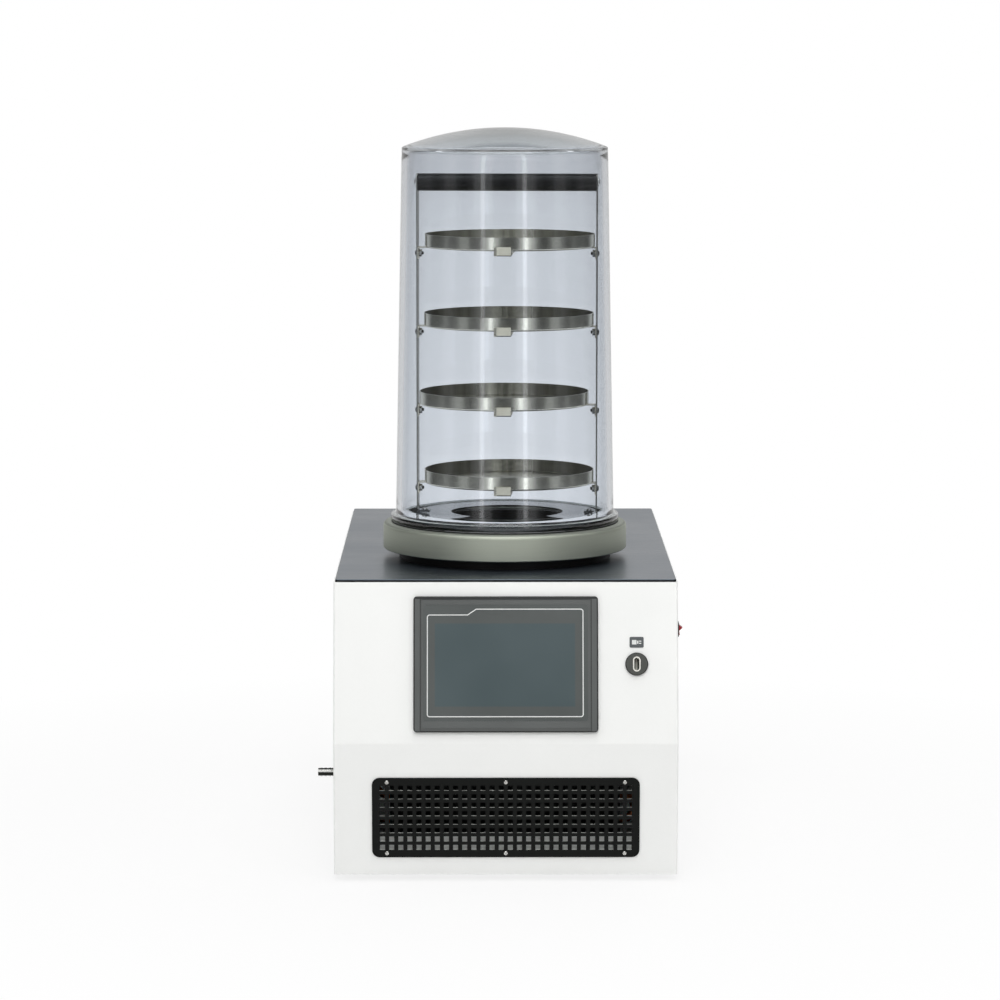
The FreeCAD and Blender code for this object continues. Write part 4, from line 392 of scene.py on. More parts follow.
class GrainLibrary:
    """Builds each grain's node group once. Every group turns Vector and Scale into Grey and Height."""

    def __init__(self) -> None:
        """Starts with no group made."""
        self.made: dict[Grain, Tree] = {}
        self.box: Tree | None = None

    def get(self, grain: Grain) -> Tree:
        """Gives a grain's group, made on its first use.

        Args:
            grain: which texture.

        Returns:
            The group's tree.
        """
        if grain not in self.made:
            self.made[grain] = self.build(grain)
        return self.made[grain]

    def build(self, grain: Grain) -> Tree:
        """Makes the group of one grain.

        Args:
            grain: which texture the group gives.

        Returns:
            The node tree, with Grey for colour and gloss and Height for bump.
        """
        kinds = {"Vector": "Vector", "Scale": "Float"}
        graph, (place, scale), outward = new_group(grain.value, kinds, ("Grey", "Height"))
        vector = place
        if grain is Grain.TURNED:
            vector = self.radial(graph, vector)
        elif grain is Grain.BRUSHED:
            vector = graph.vector("MULTIPLY", vector, (0.012, 1.0, 1.0)).outputs[0]
        elif grain is Grain.STREAKED:
            flat = graph.vector("MULTIPLY", vector, (1.0, 1.0, 0.0))
            vector = graph.vector("NORMALIZE", flat.outputs[0]).outputs[0]
        noise = graph.noise(vector, scale, NOISE_DETAIL.get(grain, 4.0), NOISE_ROUGHNESS.get(grain, 0.6))
        fine = graph.span(noise, 0.3, 0.7, 0.0, 1.0)
        cloud = graph.span(graph.noise(place, CLOUD_SCALE), 0.35, 0.65, 0.0, 1.0)
        share = FINE_SHARE.get(grain, 0.65)
        grey = graph.math("ADD", graph.math("MULTIPLY", fine, share),
                          graph.math("MULTIPLY", cloud, 1.0 - share))
        graph.join(grey, outward[0])
        graph.join(noise, outward[1])
        return graph.tree

    @staticmethod
    def radial(graph: Graph, vector: Socket) -> Socket:
        """Turns a point into (distance from the Z axis, a little of the angle, height).

        Args:
            graph: the graph that the nodes go into.
            vector: the point.

        Returns:
            The new vector.
        """
        x, y, z = graph.split(vector)
        merged = graph.add("ShaderNodeCombineXYZ")
        graph.join(graph.math("SQRT", graph.square_sum(x, y)), merged.inputs[0])
        graph.join(graph.math("MULTIPLY", graph.math("ARCTAN2", y, x), 0.002), merged.inputs[1])
        graph.join(z, merged.inputs[2])
        return merged.outputs[0]

    def box_mask(self) -> Tree:
        """The group that tells how far a point is inside a box, from 0 outside to 1 inside.

        Returns:
            The tree. Its inputs are Vector, Centre, Half and Soft, and its output is Mask.
        """
        if self.box is None:
            kinds = {"Vector": "Vector", "Centre": "Vector", "Half": "Vector", "Soft": "Float"}
            graph, (vector, centre, half, soft), (mask,) = new_group("box_mask", kinds, ("Mask",))
            away = graph.vector("ABSOLUTE", graph.vector("SUBTRACT", vector, centre).outputs[0])
            x, y, z = graph.split(graph.vector("SUBTRACT", away.outputs[0], half).outputs[0])
            outside = graph.math("MAXIMUM", graph.math("MAXIMUM", x, y), z)
            share = graph.math("DIVIDE", outside, soft)
            graph.join(graph.span(share, -1.0, 1.0, 1.0, 0.0), mask)
            self.box = graph.tree
        return self.box


GRAINS = GrainLibrary()


@dataclass(frozen=True)
class Patch:
    """A box of a piece that differs in display colour or gloss, in row-frame millimetres."""

    low: Triple
    high: Triple
    colour: Triple | None = None
    roughness: float | None = None
    facing: Triple | None = None
    soft: float = 0.25

    def mask(self, graph: Graph) -> Socket:
        """Adds the patch's mask, times how far the surface faces its direction where one is set.

        Args:
            graph: the material's graph.

        Returns:
            The mask, 1 inside.
        """
        low, high = np.array(self.low) * MM, np.array(self.high) * MM
        inside = graph.group(GRAINS.box_mask(), Vector=graph.space(), Centre=tuple((low + high) / 2),
                             Half=tuple((high - low) / 2), Soft=self.soft * MM).outputs["Mask"]
        if self.facing is None:
            return inside
        turn = graph.vector("DOT_PRODUCT", graph.space("Normal"), self.facing).outputs["Value"]
        return graph.math("MULTIPLY", inside, graph.span(turn, 0.5, 0.7, 0.0, 1.0))


@dataclass(frozen=True)
class Band:
    """A strip along an outline in a plane, with a display colour or gloss of its own. Sizes in millimetres.

    The distance d of a point (u, v) is |(u, v)| - a from a round outline, where b is 0, and
    max(|u| - a, |v| - b) from a rectangle. The strip is where near < d < far. Where streaks is above 0,
    noise with that scale round the outline thins the strip.
    """

    centre: Triple
    half: Pair
    near: float
    far: float
    colour: Triple | None = None
    roughness: float | None = None
    lean: float = 0.0
    soft: float = 0.2
    # Above 0, noise of this scale round the outline paints streaks of reflection into the strip.
    streaks: float = 0.0

    def mask(self, graph: Graph) -> Socket:
        """Adds the strip's mask, in a plane whose outward side is Z turned by lean about X.

        Args:
            graph: the material's graph.

        Returns:
            The mask, 1 inside.
        """
        place = graph.frame(tuple(c * MM for c in self.centre), (self.lean, 0.0, 0.0))
        u, v, _ = graph.split(place)
        a, b = (size * MM for size in self.half)
        if b > 0.0:
            away = graph.math("MAXIMUM", graph.past(u, a), graph.past(v, b))
        else:
            away = graph.math("SUBTRACT", graph.math("SQRT", graph.square_sum(u, v)), a)
        middle, reach = (self.near + self.far) / 2 * MM, (self.far - self.near) / 2 * MM
        inside = graph.span(graph.past(away, reach, middle), -self.soft * MM, self.soft * MM, 1.0, 0.0)
        if self.streaks == 0.0:
            return inside
        streaks = graph.group(GRAINS.get(Grain.STREAKED), Vector=place, Scale=self.streaks)
        return graph.math("MULTIPLY", inside, streaks.outputs["Grey"])


@dataclass(frozen=True)
class Finish:
    """One finish: its display colour, gloss and grain. Scale counts waves per metre and depth is in metres."""

    name: str
    colour: Triple
    roughness: float
    grain: Grain
    scale: float
    shade: float = 0.06
    rough_spread: float = 0.06
    strength: float = 0.2
    depth: float = 0.0001
    metallic: float = 0.0
    specular: float = 0.5
    turn: Triple = (0.0, 0.0, 0.0)
    centre: Triple = (0.0, 0.0, 0.0)
    patches: tuple[Patch | Band, ...] = ()

    def material(self) -> Material:
        """Makes the material: grain to colour, roughness and bump of one Principled shader.

        Returns:
            The material.
        """
        made, graph, shader = new_material(self.name)
        place = graph.frame(self.centre, self.turn)
        grey, height = graph.group(GRAINS.get(self.grain), Vector=place, Scale=self.scale).outputs
        colour = self.tone(graph, grey)
        gloss = graph.span(grey, 0.0, 1.0, max(self.roughness - self.rough_spread, 0.02),
                           min(self.roughness + self.rough_spread, 1.0))
        for patch in self.patches:
            mask = patch.mask(graph)
            if patch.colour is not None:
                colour = graph.blend(mask, colour, linear(*patch.colour))
            if patch.roughness is not None:
                gloss = graph.span(mask, 0.0, 1.0, gloss, patch.roughness)
        bump = graph.fill(graph.add("ShaderNodeBump"), Strength=self.strength, Distance=self.depth,
                          Height=height)
        graph.fill(shader, Base_Color=colour, Roughness=gloss, Normal=bump.outputs[0],
                   Metallic=self.metallic, Specular_IOR_Level=self.specular)
        return made

    def tone(self, graph: Graph, grey: Socket) -> Socket:
        """Varies the colour by the finish's shade each way from its mean.

        Args:
            graph: the material's graph.
            grey: the grain, from 0 to 1.

        Returns:
            The colour.
        """
        mean = linear(*self.colour)
        low = tuple(c * (1.0 - self.shade) for c in mean)
        high = tuple(min(c * (1.0 + self.shade), 1.0) for c in mean)
        return graph.blend(grey, low, high)


def front_band(u: float, v: float, half: Pair, near: float, far: float, colour: Triple,
               roughness: float | None = None) -> Band:
    """Lays a band on the upper front about the local point u, v.

    Args:
        u, v: its middle, in millimetres from the middle of the fold.
        half, near, far, colour, roughness: as in Band.

    Returns:
        The band.
    """
    centre = tuple(float(c) / MM for c in UPPER_FRONT.place(np.array([u, v, 0.0])))
    return Band(centre, half, near, far, colour=colour, roughness=roughness, lean=90 - UPPER_LEAN)


def metal(name: str, colour: Triple, roughness: float, grain: Grain, scale: float, **more: object) -> Finish:
    """Describes a bare metal.

    Args:
        name, colour, roughness, grain, scale: as in Finish.
        more: the rest of a finish's fields.

    Returns:
        The finish, with a faint bump unless more says otherwise.
    """
    return Finish(name, colour, roughness, grain, scale, metallic=1.0, **{"strength": 0.08, **more})


AXIS_M = tuple(c * MM for c in JAR_AXIS)
RACK_AXIS_M = tuple(c * MM for c in RACK_AXIS)
TAB_LEVELS = (421.0, 512.4, 603.8, 695.2)
TRAY_CENTRES = ((11.745, -113.695), (5.955, -113.365), (11.445, -113.685), (12.545, -113.745))
TRAY_INSIDE = 98.25
WITHIN = -200.0         # reaches past the middle of every round outline
PAINT = Finish("cabinet_paint", (246.3, 247.1, 245.1), 0.34, Grain.SPRAYED, 420.0, shade=0.012,
               rough_spread=0.04, strength=0.10, depth=0.0002)
BLACK_COAT = Finish("grille_black_coat", (11, 13, 11), 0.45, Grain.SPRAYED, 600.0, shade=0.18, specular=0.14,
                    # The hole edges that face up are painted light: partly bare cut metal, partly a painted
                    # highlight of the light from above.
                    patches=(Patch((-139.0, -400.0, 30.0), (152.0, -300.0, 113.0), colour=(225, 228, 222),
                                   facing=(0.0, 0.0, 1.0)),))
PLATE = Finish("plate_steel_brushed", (89, 97, 106), 0.31, Grain.BRUSHED, 900.0, shade=0.10,
               rough_spread=0.07, strength=0.05, metallic=0.8,
               # Painted shade: the plate's edge faces, below its top, are near black.
               patches=(Patch((-400.0, -500.0, 330.0), (400.0, 500.0, 338.6), colour=(14, 15, 16),
                              roughness=0.5),))
RING = metal("ring_turned_aluminium", (186, 191, 179), 0.60, Grain.TURNED, 1100.0, shade=0.09,
             rough_spread=0.08, strength=0.12, centre=AXIS_M,
             # Painted shade: the ring's top, which faces up, is darker.
             patches=(Patch((-200.0, -300.0, 379.0), (200.0, 100.0, 383.0), colour=(148, 152, 143),
                            facing=(0.0, 0.0, 1.0), soft=0.4),
                      # Painted shade: inside radius 112 the ring is near black, in the gap under the disc.
                      Band(JAR_AXIS, (112.0, 0.0), WITHIN, 0.0, colour=(26, 30, 34))))
SHELF = metal("shelf_stainless", (226, 222, 206), 0.28, Grain.TURNED, 2600.0, shade=0.10,
              rough_spread=0.05, strength=0.12, centre=RACK_AXIS_M,
              patches=tuple(Patch((-3.0, -240.0, z), (21.5, -180.0, z + 11.0), roughness=0.6, soft=0.4)
                            for z in TAB_LEVELS)
              # Painted shade: a near-black line along the lower edge of each front tab.
              + tuple(Patch((-3.0, -240.0, z - 2.0), (21.5, -180.0, z + 1.1), colour=(26, 27, 25))
                      for z in TAB_LEVELS))
TRAY = metal("tray_stainless", (228, 226, 212), 0.15, Grain.TURNED, 2600.0, shade=0.10,
             rough_spread=0.03, strength=0.10)


def tray_finish(number: int) -> Finish:
    """The trays' finish for one tray, which lies a little off the rack's axis.

    Args:
        number: 1 for the lowest tray to 4 for the highest.

    Returns:
        A finish centred on that tray: rings, and an inside that is rougher and darker as painted shade, with a
            painted highlight on the middle of the rear wall and painted streaks of reflection.
    """
    x, y = TRAY_CENTRES[number - 1]
    inside = ((x, y, 0.0), (TRAY_INSIDE, 0.0), WITHIN, 0.0)
    return replace(TRAY, name=f"tray_stainless_{number}", centre=(x * MM, y * MM, 0.0),
                   # Painted shade: the inside is darker as well as rougher.
                   patches=(Band(*inside, colour=(150, 148, 136), roughness=0.33),
                            # Painted highlight: a soft lighter patch on the middle of the rear inner wall.
                            Patch((x - 52.0, y, 0.0), (x + 48.0, y + 160.0, 900.0), colour=(246, 244, 230),
                                  roughness=0.26, soft=32.0),
                            # Painted reflection: dark streaks round the inside.
                            Band(*inside, colour=(136, 134, 122), streaks=9.0)))


UPRIGHT = metal("upright_stainless", (160, 160, 154), 0.26, Grain.BRUSHED, 900.0, shade=0.05,
                rough_spread=0.04, strength=0.03, turn=(0.0, -90.0, 0.0),
                patches=(Patch((-120.0, -140.0, 389.0), (140.0, -90.0, 393.0), colour=(120, 124, 128),
                               roughness=0.18),))
# Painted shade: the trap's steel is near black, the shade inside its well.
TRAP = metal("trap_stainless_painted_shade", (26, 31, 36), 0.24, Grain.TURNED, 500.0, shade=0.12, centre=AXIS_M)
PIPE = metal("vacuum_stainless", (190, 192, 190), 0.30, Grain.CAST, 300.0, shade=0.07,
             rough_spread=0.08)
DISC = metal("disc_polished_steel", (150, 154, 158), 0.14, Grain.TURNED, 350.0, shade=0.07,
             rough_spread=0.04, strength=0.03, centre=AXIS_M,
             # Painted shade: a dark ring round the disc's edge, for the edge and the gap beneath it.
             patches=(Band(RACK_AXIS, (101.8, 0.0), 0.0, 6.0, colour=(30, 34, 38)),))
SCREW = metal("screw_plated", (208, 208, 204), 0.22, Grain.CAST, 900.0, shade=0.08, strength=0.05)
PALE_SCREW = metal("screw_pale", (250, 250, 248), 0.15, Grain.CAST, 900.0, shade=0.02,
                   rough_spread=0.04, strength=0.05)
DARK_SCREW = metal("screw_darkened", (96, 97, 95), 0.13, Grain.CAST, 900.0, shade=0.12,
                   rough_spread=0.04, strength=0.05)
HANDLE = Finish("handle_black", (7, 7, 8), 0.30, Grain.MOULDED, 1200.0, shade=0.2,
                rough_spread=0.05, strength=0.06, specular=0.28)
PLASTIC = Finish("black_plastic", (24, 24, 25), 0.42, Grain.MOULDED, 1500.0, shade=0.2)
COLLAR = Finish("collar_black", (5, 6, 5), 0.5, Grain.TURNED, 900.0, shade=0.2, strength=0.1, specular=0.25,
                centre=AXIS_M)
# Painted shade: a dark line in the groove where the glass meets the frame, and a darker strip round the frame's
# outer edge.
FRAME_SHADE_BANDS = (front_band(0.0, 88.2, (95.7, 74.0), -0.6, 0.5, (54, 56, 55)),
               front_band(0.0, 88.2, (101.8, 74.0), 0.0, 9.0, (24, 26, 26)))
BEZEL = Finish("bezel_plastic", (86, 89, 88), 0.48, Grain.MOULDED, 1500.0, shade=0.14,
               rough_spread=0.08, strength=0.35, patches=FRAME_SHADE_BANDS)
SOCKET = Finish("socket_plastic", (76, 78, 74), 0.36, Grain.MOULDED, 1500.0, shade=0.14, strength=0.25,
                # Painted shade: a dark ring round the nut's edge.
                patches=(front_band(146.5, 89.2, (11.9, 0.0), 0.0, 4.0, (14, 15, 14)),
                         front_band(146.5, 89.2, (1.1, 6.4), -9.0, 0.0, (226, 226, 218))))
SHELL = Finish("socket_shell_nickel", (240, 238, 230), 0.34, Grain.CAST, 900.0, shade=0.05,
               strength=0.05, metallic=0.1)
ROCKER_RED = Finish("rocker_red", (150, 16, 30), 0.30, Grain.MOULDED, 1500.0, shade=0.1, strength=0.1)
LABEL = Finish("label_print", (84, 88, 90), 0.45, Grain.MOULDED, 1500.0, shade=0.08, strength=0.1)
INK = Finish("white_ink", (226, 228, 226), 0.5, Grain.MOULDED, 1800.0, shade=0.04, strength=0.05)
RUBBER = Finish("black_rubber", (26, 26, 26), 0.62, Grain.CAST, 900.0, shade=0.2, strength=0.3)
TUBE = Finish("tube_rubber", (196, 196, 188), 0.45, Grain.CAST, 300.0, strength=0.1)
FOAM = Finish("insulation_foam", (58, 58, 60), 0.9, Grain.CAST, 260.0, shade=0.3, strength=0.7, depth=0.0006)
COPPER = metal("copper_pipe", (214, 132, 92), 0.30, Grain.CAST, 160.0, shade=0.16, rough_spread=0.1)
FINS = metal("fin_aluminium", (72, 76, 74), 0.38, Grain.BRUSHED, 500.0, shade=0.1,
             rough_spread=0.08, strength=0.1)
COMPRESSOR_BLACK = Finish("compressor_paint", (28, 29, 30), 0.34, Grain.SPRAYED, 240.0, shade=0.2,
                          strength=0.3, depth=0.0003)
PAN = Finish("base_pan_paint", (243, 246, 243), 0.45, Grain.SPRAYED, 300.0, shade=0.05, strength=0.1)
# The seal's pale colour is partly silicone's own and partly painted light that brightens the jar's flange seen
# through it.
SEAL = Finish("seal_silicone", (234, 237, 234), 0.5, Grain.CAST, 600.0, strength=0.15,
              # Painted shade: a near-black line round the seal's outer edge, and its upper part dark in the gap
              # under the disc.
              patches=(Band(JAR_AXIS, (131.6, 0.0), 0.0, 9.0, colour=(8, 9, 9)),
                       Patch((-200.0, -300.0, 382.9), (200.0, 100.0, 400.0), colour=(44, 48, 50))))
ZINC = metal("galvanised_sheet", (104, 108, 108), 0.42, Grain.CAST, 60.0, shade=0.12,
             rough_spread=0.12, strength=0.06)
NOZZLE = metal("nozzle_nickel", (192, 193, 190), 0.24, Grain.CAST, 500.0, shade=0.1,
               # Painted reflection: two dark bands along the nozzle.
               patches=tuple(Patch((-260.0, -310.0, low), (-186.6, -270.0, high), colour=(44, 45, 42),
                                   roughness=0.5) for low, high in ((119.0, 124.0), (112.4, 116.4))))

DRESSED: tuple[tuple[Finish, str], ...] = (
    (PAINT, "front_panel rear_panel left_side_panel right_side_panel"),
    (BLACK_COAT, "grille_plate"),
    (PLATE, "top_plate"),
    (RING, "chamber_base_ring"),
    (SHELF, "shelf_1 shelf_2 shelf_3 shelf_4"),
    *((tray_finish(number), f"tray_{number}") for number in range(1, 5)),
    (UPRIGHT, "left_upright right_upright"),
    (TRAP, "trap_vessel"),
    (PIPE, "vacuum_pipe vacuum_port"),
    (DISC, "rack_base_disc"),
    (SCREW, "shelf_nuts touch_panel_clamps"),
    (HANDLE, "rack_handle"),
    (COLLAR, "collar"),
    (PLASTIC, "disc_feet switch_frame power_inlet touch_panel_housing"),
    (BEZEL, "touch_panel_frame"),
    (SOCKET, "usb_socket_body usb_nut"),
    (SHELL, "usb_socket_shell"),
    (ROCKER_RED, "switch_rocker"),
    (LABEL, "usb_label"),
    (RUBBER, "rubber_feet compressor_mounts"),
    (TUBE, "drain_tube"),
    (FOAM, "trap_insulation"),
    (COPPER, "trap_coil condenser_tubes refrigerant_pipes filter_drier"),
    (FINS, "condenser_fins"),
    (COMPRESSOR_BLACK, "compressor fan_motor"),
    (PAN, "base_pan"),
    (SEAL, "chamber_seal"),
    (ZINC, "fan_shroud fan_blades fan_bracket control_box"),
    (NOZZLE, "drain_nozzle drain_nut"),
)


def dress_nodes() -> None:
    """Gives every carried-over node its finish, one material to a finish."""
    for finish, names in DRESSED:
        made = finish.material()
        for name in names.split():
            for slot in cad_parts[name].material_slots:
                slot.material = made
        LOG.info("%s on %s", finish.name, names)


# ================================================================ meshes
def linked(name: str, data: bpy.types.ID) -> Thing:
    """Puts new data into the scene.

    Args:
        name: the object's name.
        data: its mesh, lamp or camera.

    Returns:
        The object.
    """
    made = bpy.data.objects.new(name, data)
    bpy.context.scene.collection.objects.link(made)
    return made


def mesh_piece(name: str, points: np.ndarray, faces: list[np.ndarray], material: Material,
               body: str = CABINET, smooth: bool = True) -> Thing:
    """Makes a mesh object at the origin from arrays, and lets it ride on a body.

    Args:
        name: the piece's name.
        points: n rows of x, y, z in metres.
        faces: arrays of quads or triangles, each of m rows of point numbers.
        material: its material.
        body: the body that it moves with.
        smooth: whether its faces are smooth shaded.

    Returns:
        The object.
    """
    mesh = bpy.data.meshes.new(name)
    loops = np.concatenate([f.ravel() for f in faces]).astype(np.int32)
    sizes = np.concatenate([np.full(len(f), f.shape[1]) for f in faces]).astype(np.int32)
    mesh.vertices.add(len(points))
    mesh.vertices.foreach_set("co", points.astype(np.float32).ravel())
    mesh.loops.add(len(loops))
    mesh.loops.foreach_set("vertex_index", loops)
    mesh.polygons.add(len(sizes))
    mesh.polygons.foreach_set("loop_start", np.concatenate([[0], np.cumsum(sizes)[:-1]]).astype(np.int32))
    mesh.polygons.foreach_set("use_smooth", np.full(len(sizes), smooth))
    mesh.update(calc_edges=True)
    mesh.validate()
    mesh.materials.append(material)
    made = linked(name, mesh)
    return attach(made, body)


def grid_quads(rows: int, columns: int, closed: bool = True) -> np.ndarray:
    """Quads of a grid of points.

    Args:
        rows, columns: the grid's size.
        closed: whether the last point of a row joins its first.

    Returns:
        Rows of four point numbers.
    """
    r, c = np.meshgrid(np.arange(rows - 1), np.arange(columns if closed else columns - 1), indexing="ij")
    after = (c + 1) % columns
    return np.stack([r * columns + c, r * columns + after, (r + 1) * columns + after,
                     (r + 1) * columns + c], axis=-1).reshape(-1, 4)


def capped(rows: np.ndarray, low: float, high: float) -> Skin:
    """Closes a stack of rings with a point on the Z axis at each end.

    Args:
        rows: the rings' points, as rings by steps by 3, from the low end to the high one.
        low, high: the heights of the end points.

    Returns:
        The points and the faces, with a triangle fan at each end.
    """
    rings, steps, _ = rows.shape
    points = np.concatenate([rows.reshape(-1, 3), [[0, 0, low], [0, 0, high]]])
    around = np.arange(steps)
    after = (around + 1) % steps
    last = (rings - 1) * steps
    fans = [np.stack([np.full(steps, rings * steps), after, around], axis=-1),
            np.stack([last + around, last + after, np.full(steps, rings * steps + 1)], axis=-1)]
    return points, [grid_quads(rings, steps)] + fans


def lathe(profile: np.ndarray, segments: int) -> Skin:
    """Turns a profile that starts and ends on the axis into a closed skin.

    A point of the skin is (r(s) cos t, r(s) sin t, z(s)), with s along the profile and t round the axis.

    Args:
        profile: rows of r, z, from the lower end on the axis, outward and up to the upper end on the axis.
        segments: how many steps go round.

    Returns:
        The points and the faces, with a triangle fan at each end.
    """
    angle = np.linspace(0.0, 2.0 * math.pi, segments, endpoint=False)
    radius, height = profile[1:-1, :1], profile[1:-1, 1:]
    rows = np.stack([radius * np.cos(angle), radius * np.sin(angle), height + 0.0 * angle], axis=-1)
    return capped(rows, profile[0, 1], profile[-1, 1])


def arc(centre: Pair, radius: float, start: float, end: float, steps: int) -> Profile:
    """Points of a circular arc between two angles in degrees."""
    angle = np.radians(np.linspace(start, end, steps))
    return list(zip(centre[0] + radius * np.cos(angle), centre[1] + radius * np.sin(angle)))


def ribbon(path: np.ndarray, width: float, low: float, high: float, closed: bool) -> Skin:
    """A flat strip with a rectangular section along a path in a plane.

    At each path point p with unit normal n, the section's corners are p -+ n width / 2 at both heights.

    Args:
        path: rows of u, v.
        width: across the strip.
        low, high: its lower and upper face above the plane.
        closed: whether the last point joins the first.

    Returns:
        Local points and faces.
    """
    ahead = np.roll(path, -1, axis=0) - path
    behind = path - np.roll(path, 1, axis=0)
    if not closed:
        ahead[-1], behind[0] = behind[-1], ahead[0]
    tangent = ahead / np.linalg.norm(ahead, axis=1)[:, None] + behind / np.linalg.norm(behind, axis=1)[:, None]
    tangent /= np.linalg.norm(tangent, axis=1)[:, None]
    normal = np.stack([-tangent[:, 1], tangent[:, 0]], axis=1) * width / 2
    count = len(path)
    section = [(path + normal, low), (path - normal, low), (path - normal, high), (path + normal, high)]
    points = np.concatenate([np.column_stack([edge, np.full(count, z)]) for edge, z in section])
    index = np.arange(count if closed else count - 1)
    after = (index + 1) % count
    faces = [np.stack([a * count + index, b * count + index, b * count + after, a * count + after], axis=1)
             for a, b in ((0, 1), (1, 2), (2, 3), (3, 0))]
    if not closed:
        corners = np.arange(4) * count
        faces.append(np.stack([corners[::-1], corners + count - 1]))
    return points, faces


def merged(parts: list[Skin]) -> Skin:
    """Joins several skins into one.

    Args:
        parts: the skins.

    Returns:
        All their points and faces.
    """
    points, faces, start = [], [], 0
    for one, skin in parts:
        points.append(one)
        faces += [f + start for f in skin]
        start += len(one)
    return np.concatenate(points), faces


# ================================================================ bell jar
@dataclass
class BellJar:
    """Tapered clear jar with a flange at its foot and a shallow domed roof. Sizes in millimetres."""

    foot: float = 382.3
    height: float = 434.0
    top_radius: float = 119.5
    draft: float = 7.8
    wall: float = 6.5
    rise: float = 22.5
    flange_width: float = 5.4
    flange_height: float = 8.0
    root: float = 3.0
    fillet: float = 8.0
    segments: int = 224
    # Faint tint of the glass low down, darkening towards the roof as painted shade; each row is a height in
    # metres and a colour.
    tint_and_roof_shade: tuple[tuple[float, Triple], ...] = (
        (0.45, (0.829, 0.858, 0.896)), (0.74, (0.774, 0.802, 0.838)), (0.812, (0.705, 0.728, 0.762)),
        (0.822, (0.590, 0.622, 0.640)), (0.834, (0.470, 0.500, 0.502)), (0.8375, (0.230, 0.255, 0.252)))

    def outside(self) -> Profile:
        """The outer profile: an edge, a flange, a root, a straight taper and a spherical roof.

        Returns:
            Rows of r, z from the foot up to the roof's middle.
        """
        bottom = self.top_radius + self.draft
        rim = bottom + self.flange_width
        top = self.foot + self.flange_height
        edge = self.root / 2
        wall = bottom - self.draft * (self.flange_height + self.root) / self.height
        shoulder = self.foot + self.height
        sphere = (self.top_radius ** 2 + self.rise ** 2) / (2 * self.rise)
        slope = math.degrees(math.asin(self.top_radius / sphere))
        points = [(rim - 1.0, self.foot), (rim, self.foot + 1.0)]
        points += arc((rim - edge, top - edge), edge, 0, 90, 6)
        points += arc((wall + self.root, top + self.root), self.root, 270, 180, 8)
        low = top + self.root
        points += [(wall + (self.top_radius - wall) * k / 24, low + (shoulder - low) * k / 24)
                   for k in range(1, 24)]
        points += [(self.top_radius - 0.15, shoulder - 0.6)]
        points += arc((0.0, shoulder + self.rise - sphere), sphere, 90 - slope + 0.35, 90, 26)
        return points

    def inside(self) -> Profile:
        """The inner profile: a sphere, the shoulder's fillet and a straight taper.

        Returns:
            Rows of r, z from the roof's middle down to the foot.
        """
        bottom = self.top_radius + self.draft - self.wall
        shoulder = self.foot + self.height
        sphere = (self.top_radius ** 2 + self.rise ** 2) / (2 * self.rise)
        inner_sphere = sphere - self.wall
        middle = (self.top_radius - self.wall - self.fillet,
                  shoulder + self.rise - self.wall - inner_sphere)
        reach = inner_sphere - self.fillet
        lean = math.degrees(math.acos(middle[0] / reach))
        draft = math.degrees(math.atan(self.draft / self.height))
        points = arc((0.0, middle[1]), inner_sphere, 90, lean, 24)
        corner = (middle[0], middle[1] + math.sqrt(reach ** 2 - middle[0] ** 2))
        points += arc(corner, self.fillet, lean, draft, 12)[1:]
        top, low = points[-1]
        points += [(top + (bottom - top) * k / 24, low + (self.foot - low) * k / 24) for k in range(1, 25)]
        return points

    def build(self) -> None:
        """Turns the closed wall profile, from the inside's middle round the foot to the roof's middle."""
        profile = np.array(list(self.inside()) + self.outside())
        points, faces = lathe(profile, self.segments)
        points = (points + np.array(JAR_AXIS)) * MM
        jar = mesh_piece("clear_bell_jar", points, faces, self.material())
        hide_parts("bell_jar")
        LOG.info("clear_bell_jar: %d points", len(points))

    def material(self) -> Material:
        """Clear acrylic: glass with a faint tint that darkens towards the roof as painted shade, and lets the
        lamps reach what stands inside.

        Returns:
            The material.
        """
        made, graph, shader = new_material("jar_acrylic")
        place = graph.space()
        height = graph.split(place)[2]
        tint: object = self.tint_and_roof_shade[0][1]
        for (before, _), (after, colour) in zip(self.tint_and_roof_shade, self.tint_and_roof_shade[1:]):
            tint = graph.blend(graph.span(height, before, after, 0.0, 1.0), tint, colour)
        haze = graph.span(graph.noise(place, 14.0), 0.35, 0.75, 0.0, 0.02)
        graph.fill(shader, IOR=1.49, Specular_IOR_Level=0.08, Transmission_Weight=1.0, Base_Color=tint,
                   Roughness=haze)
        rays = graph.add("ShaderNodeLightPath").outputs
        clear = graph.fill(graph.add("ShaderNodeBsdfTransparent"), Color=(0.93, 0.945, 0.95))
        graph.surface(graph.math("MAXIMUM", rays["Is Shadow Ray"], rays["Is Diffuse Ray"]), shader, clear)
        return made


# ================================================================ screws
class Drive(Enum):
    """The recess in a screw's head."""

    CROSS = "cross"
    SOCKET = "socket"


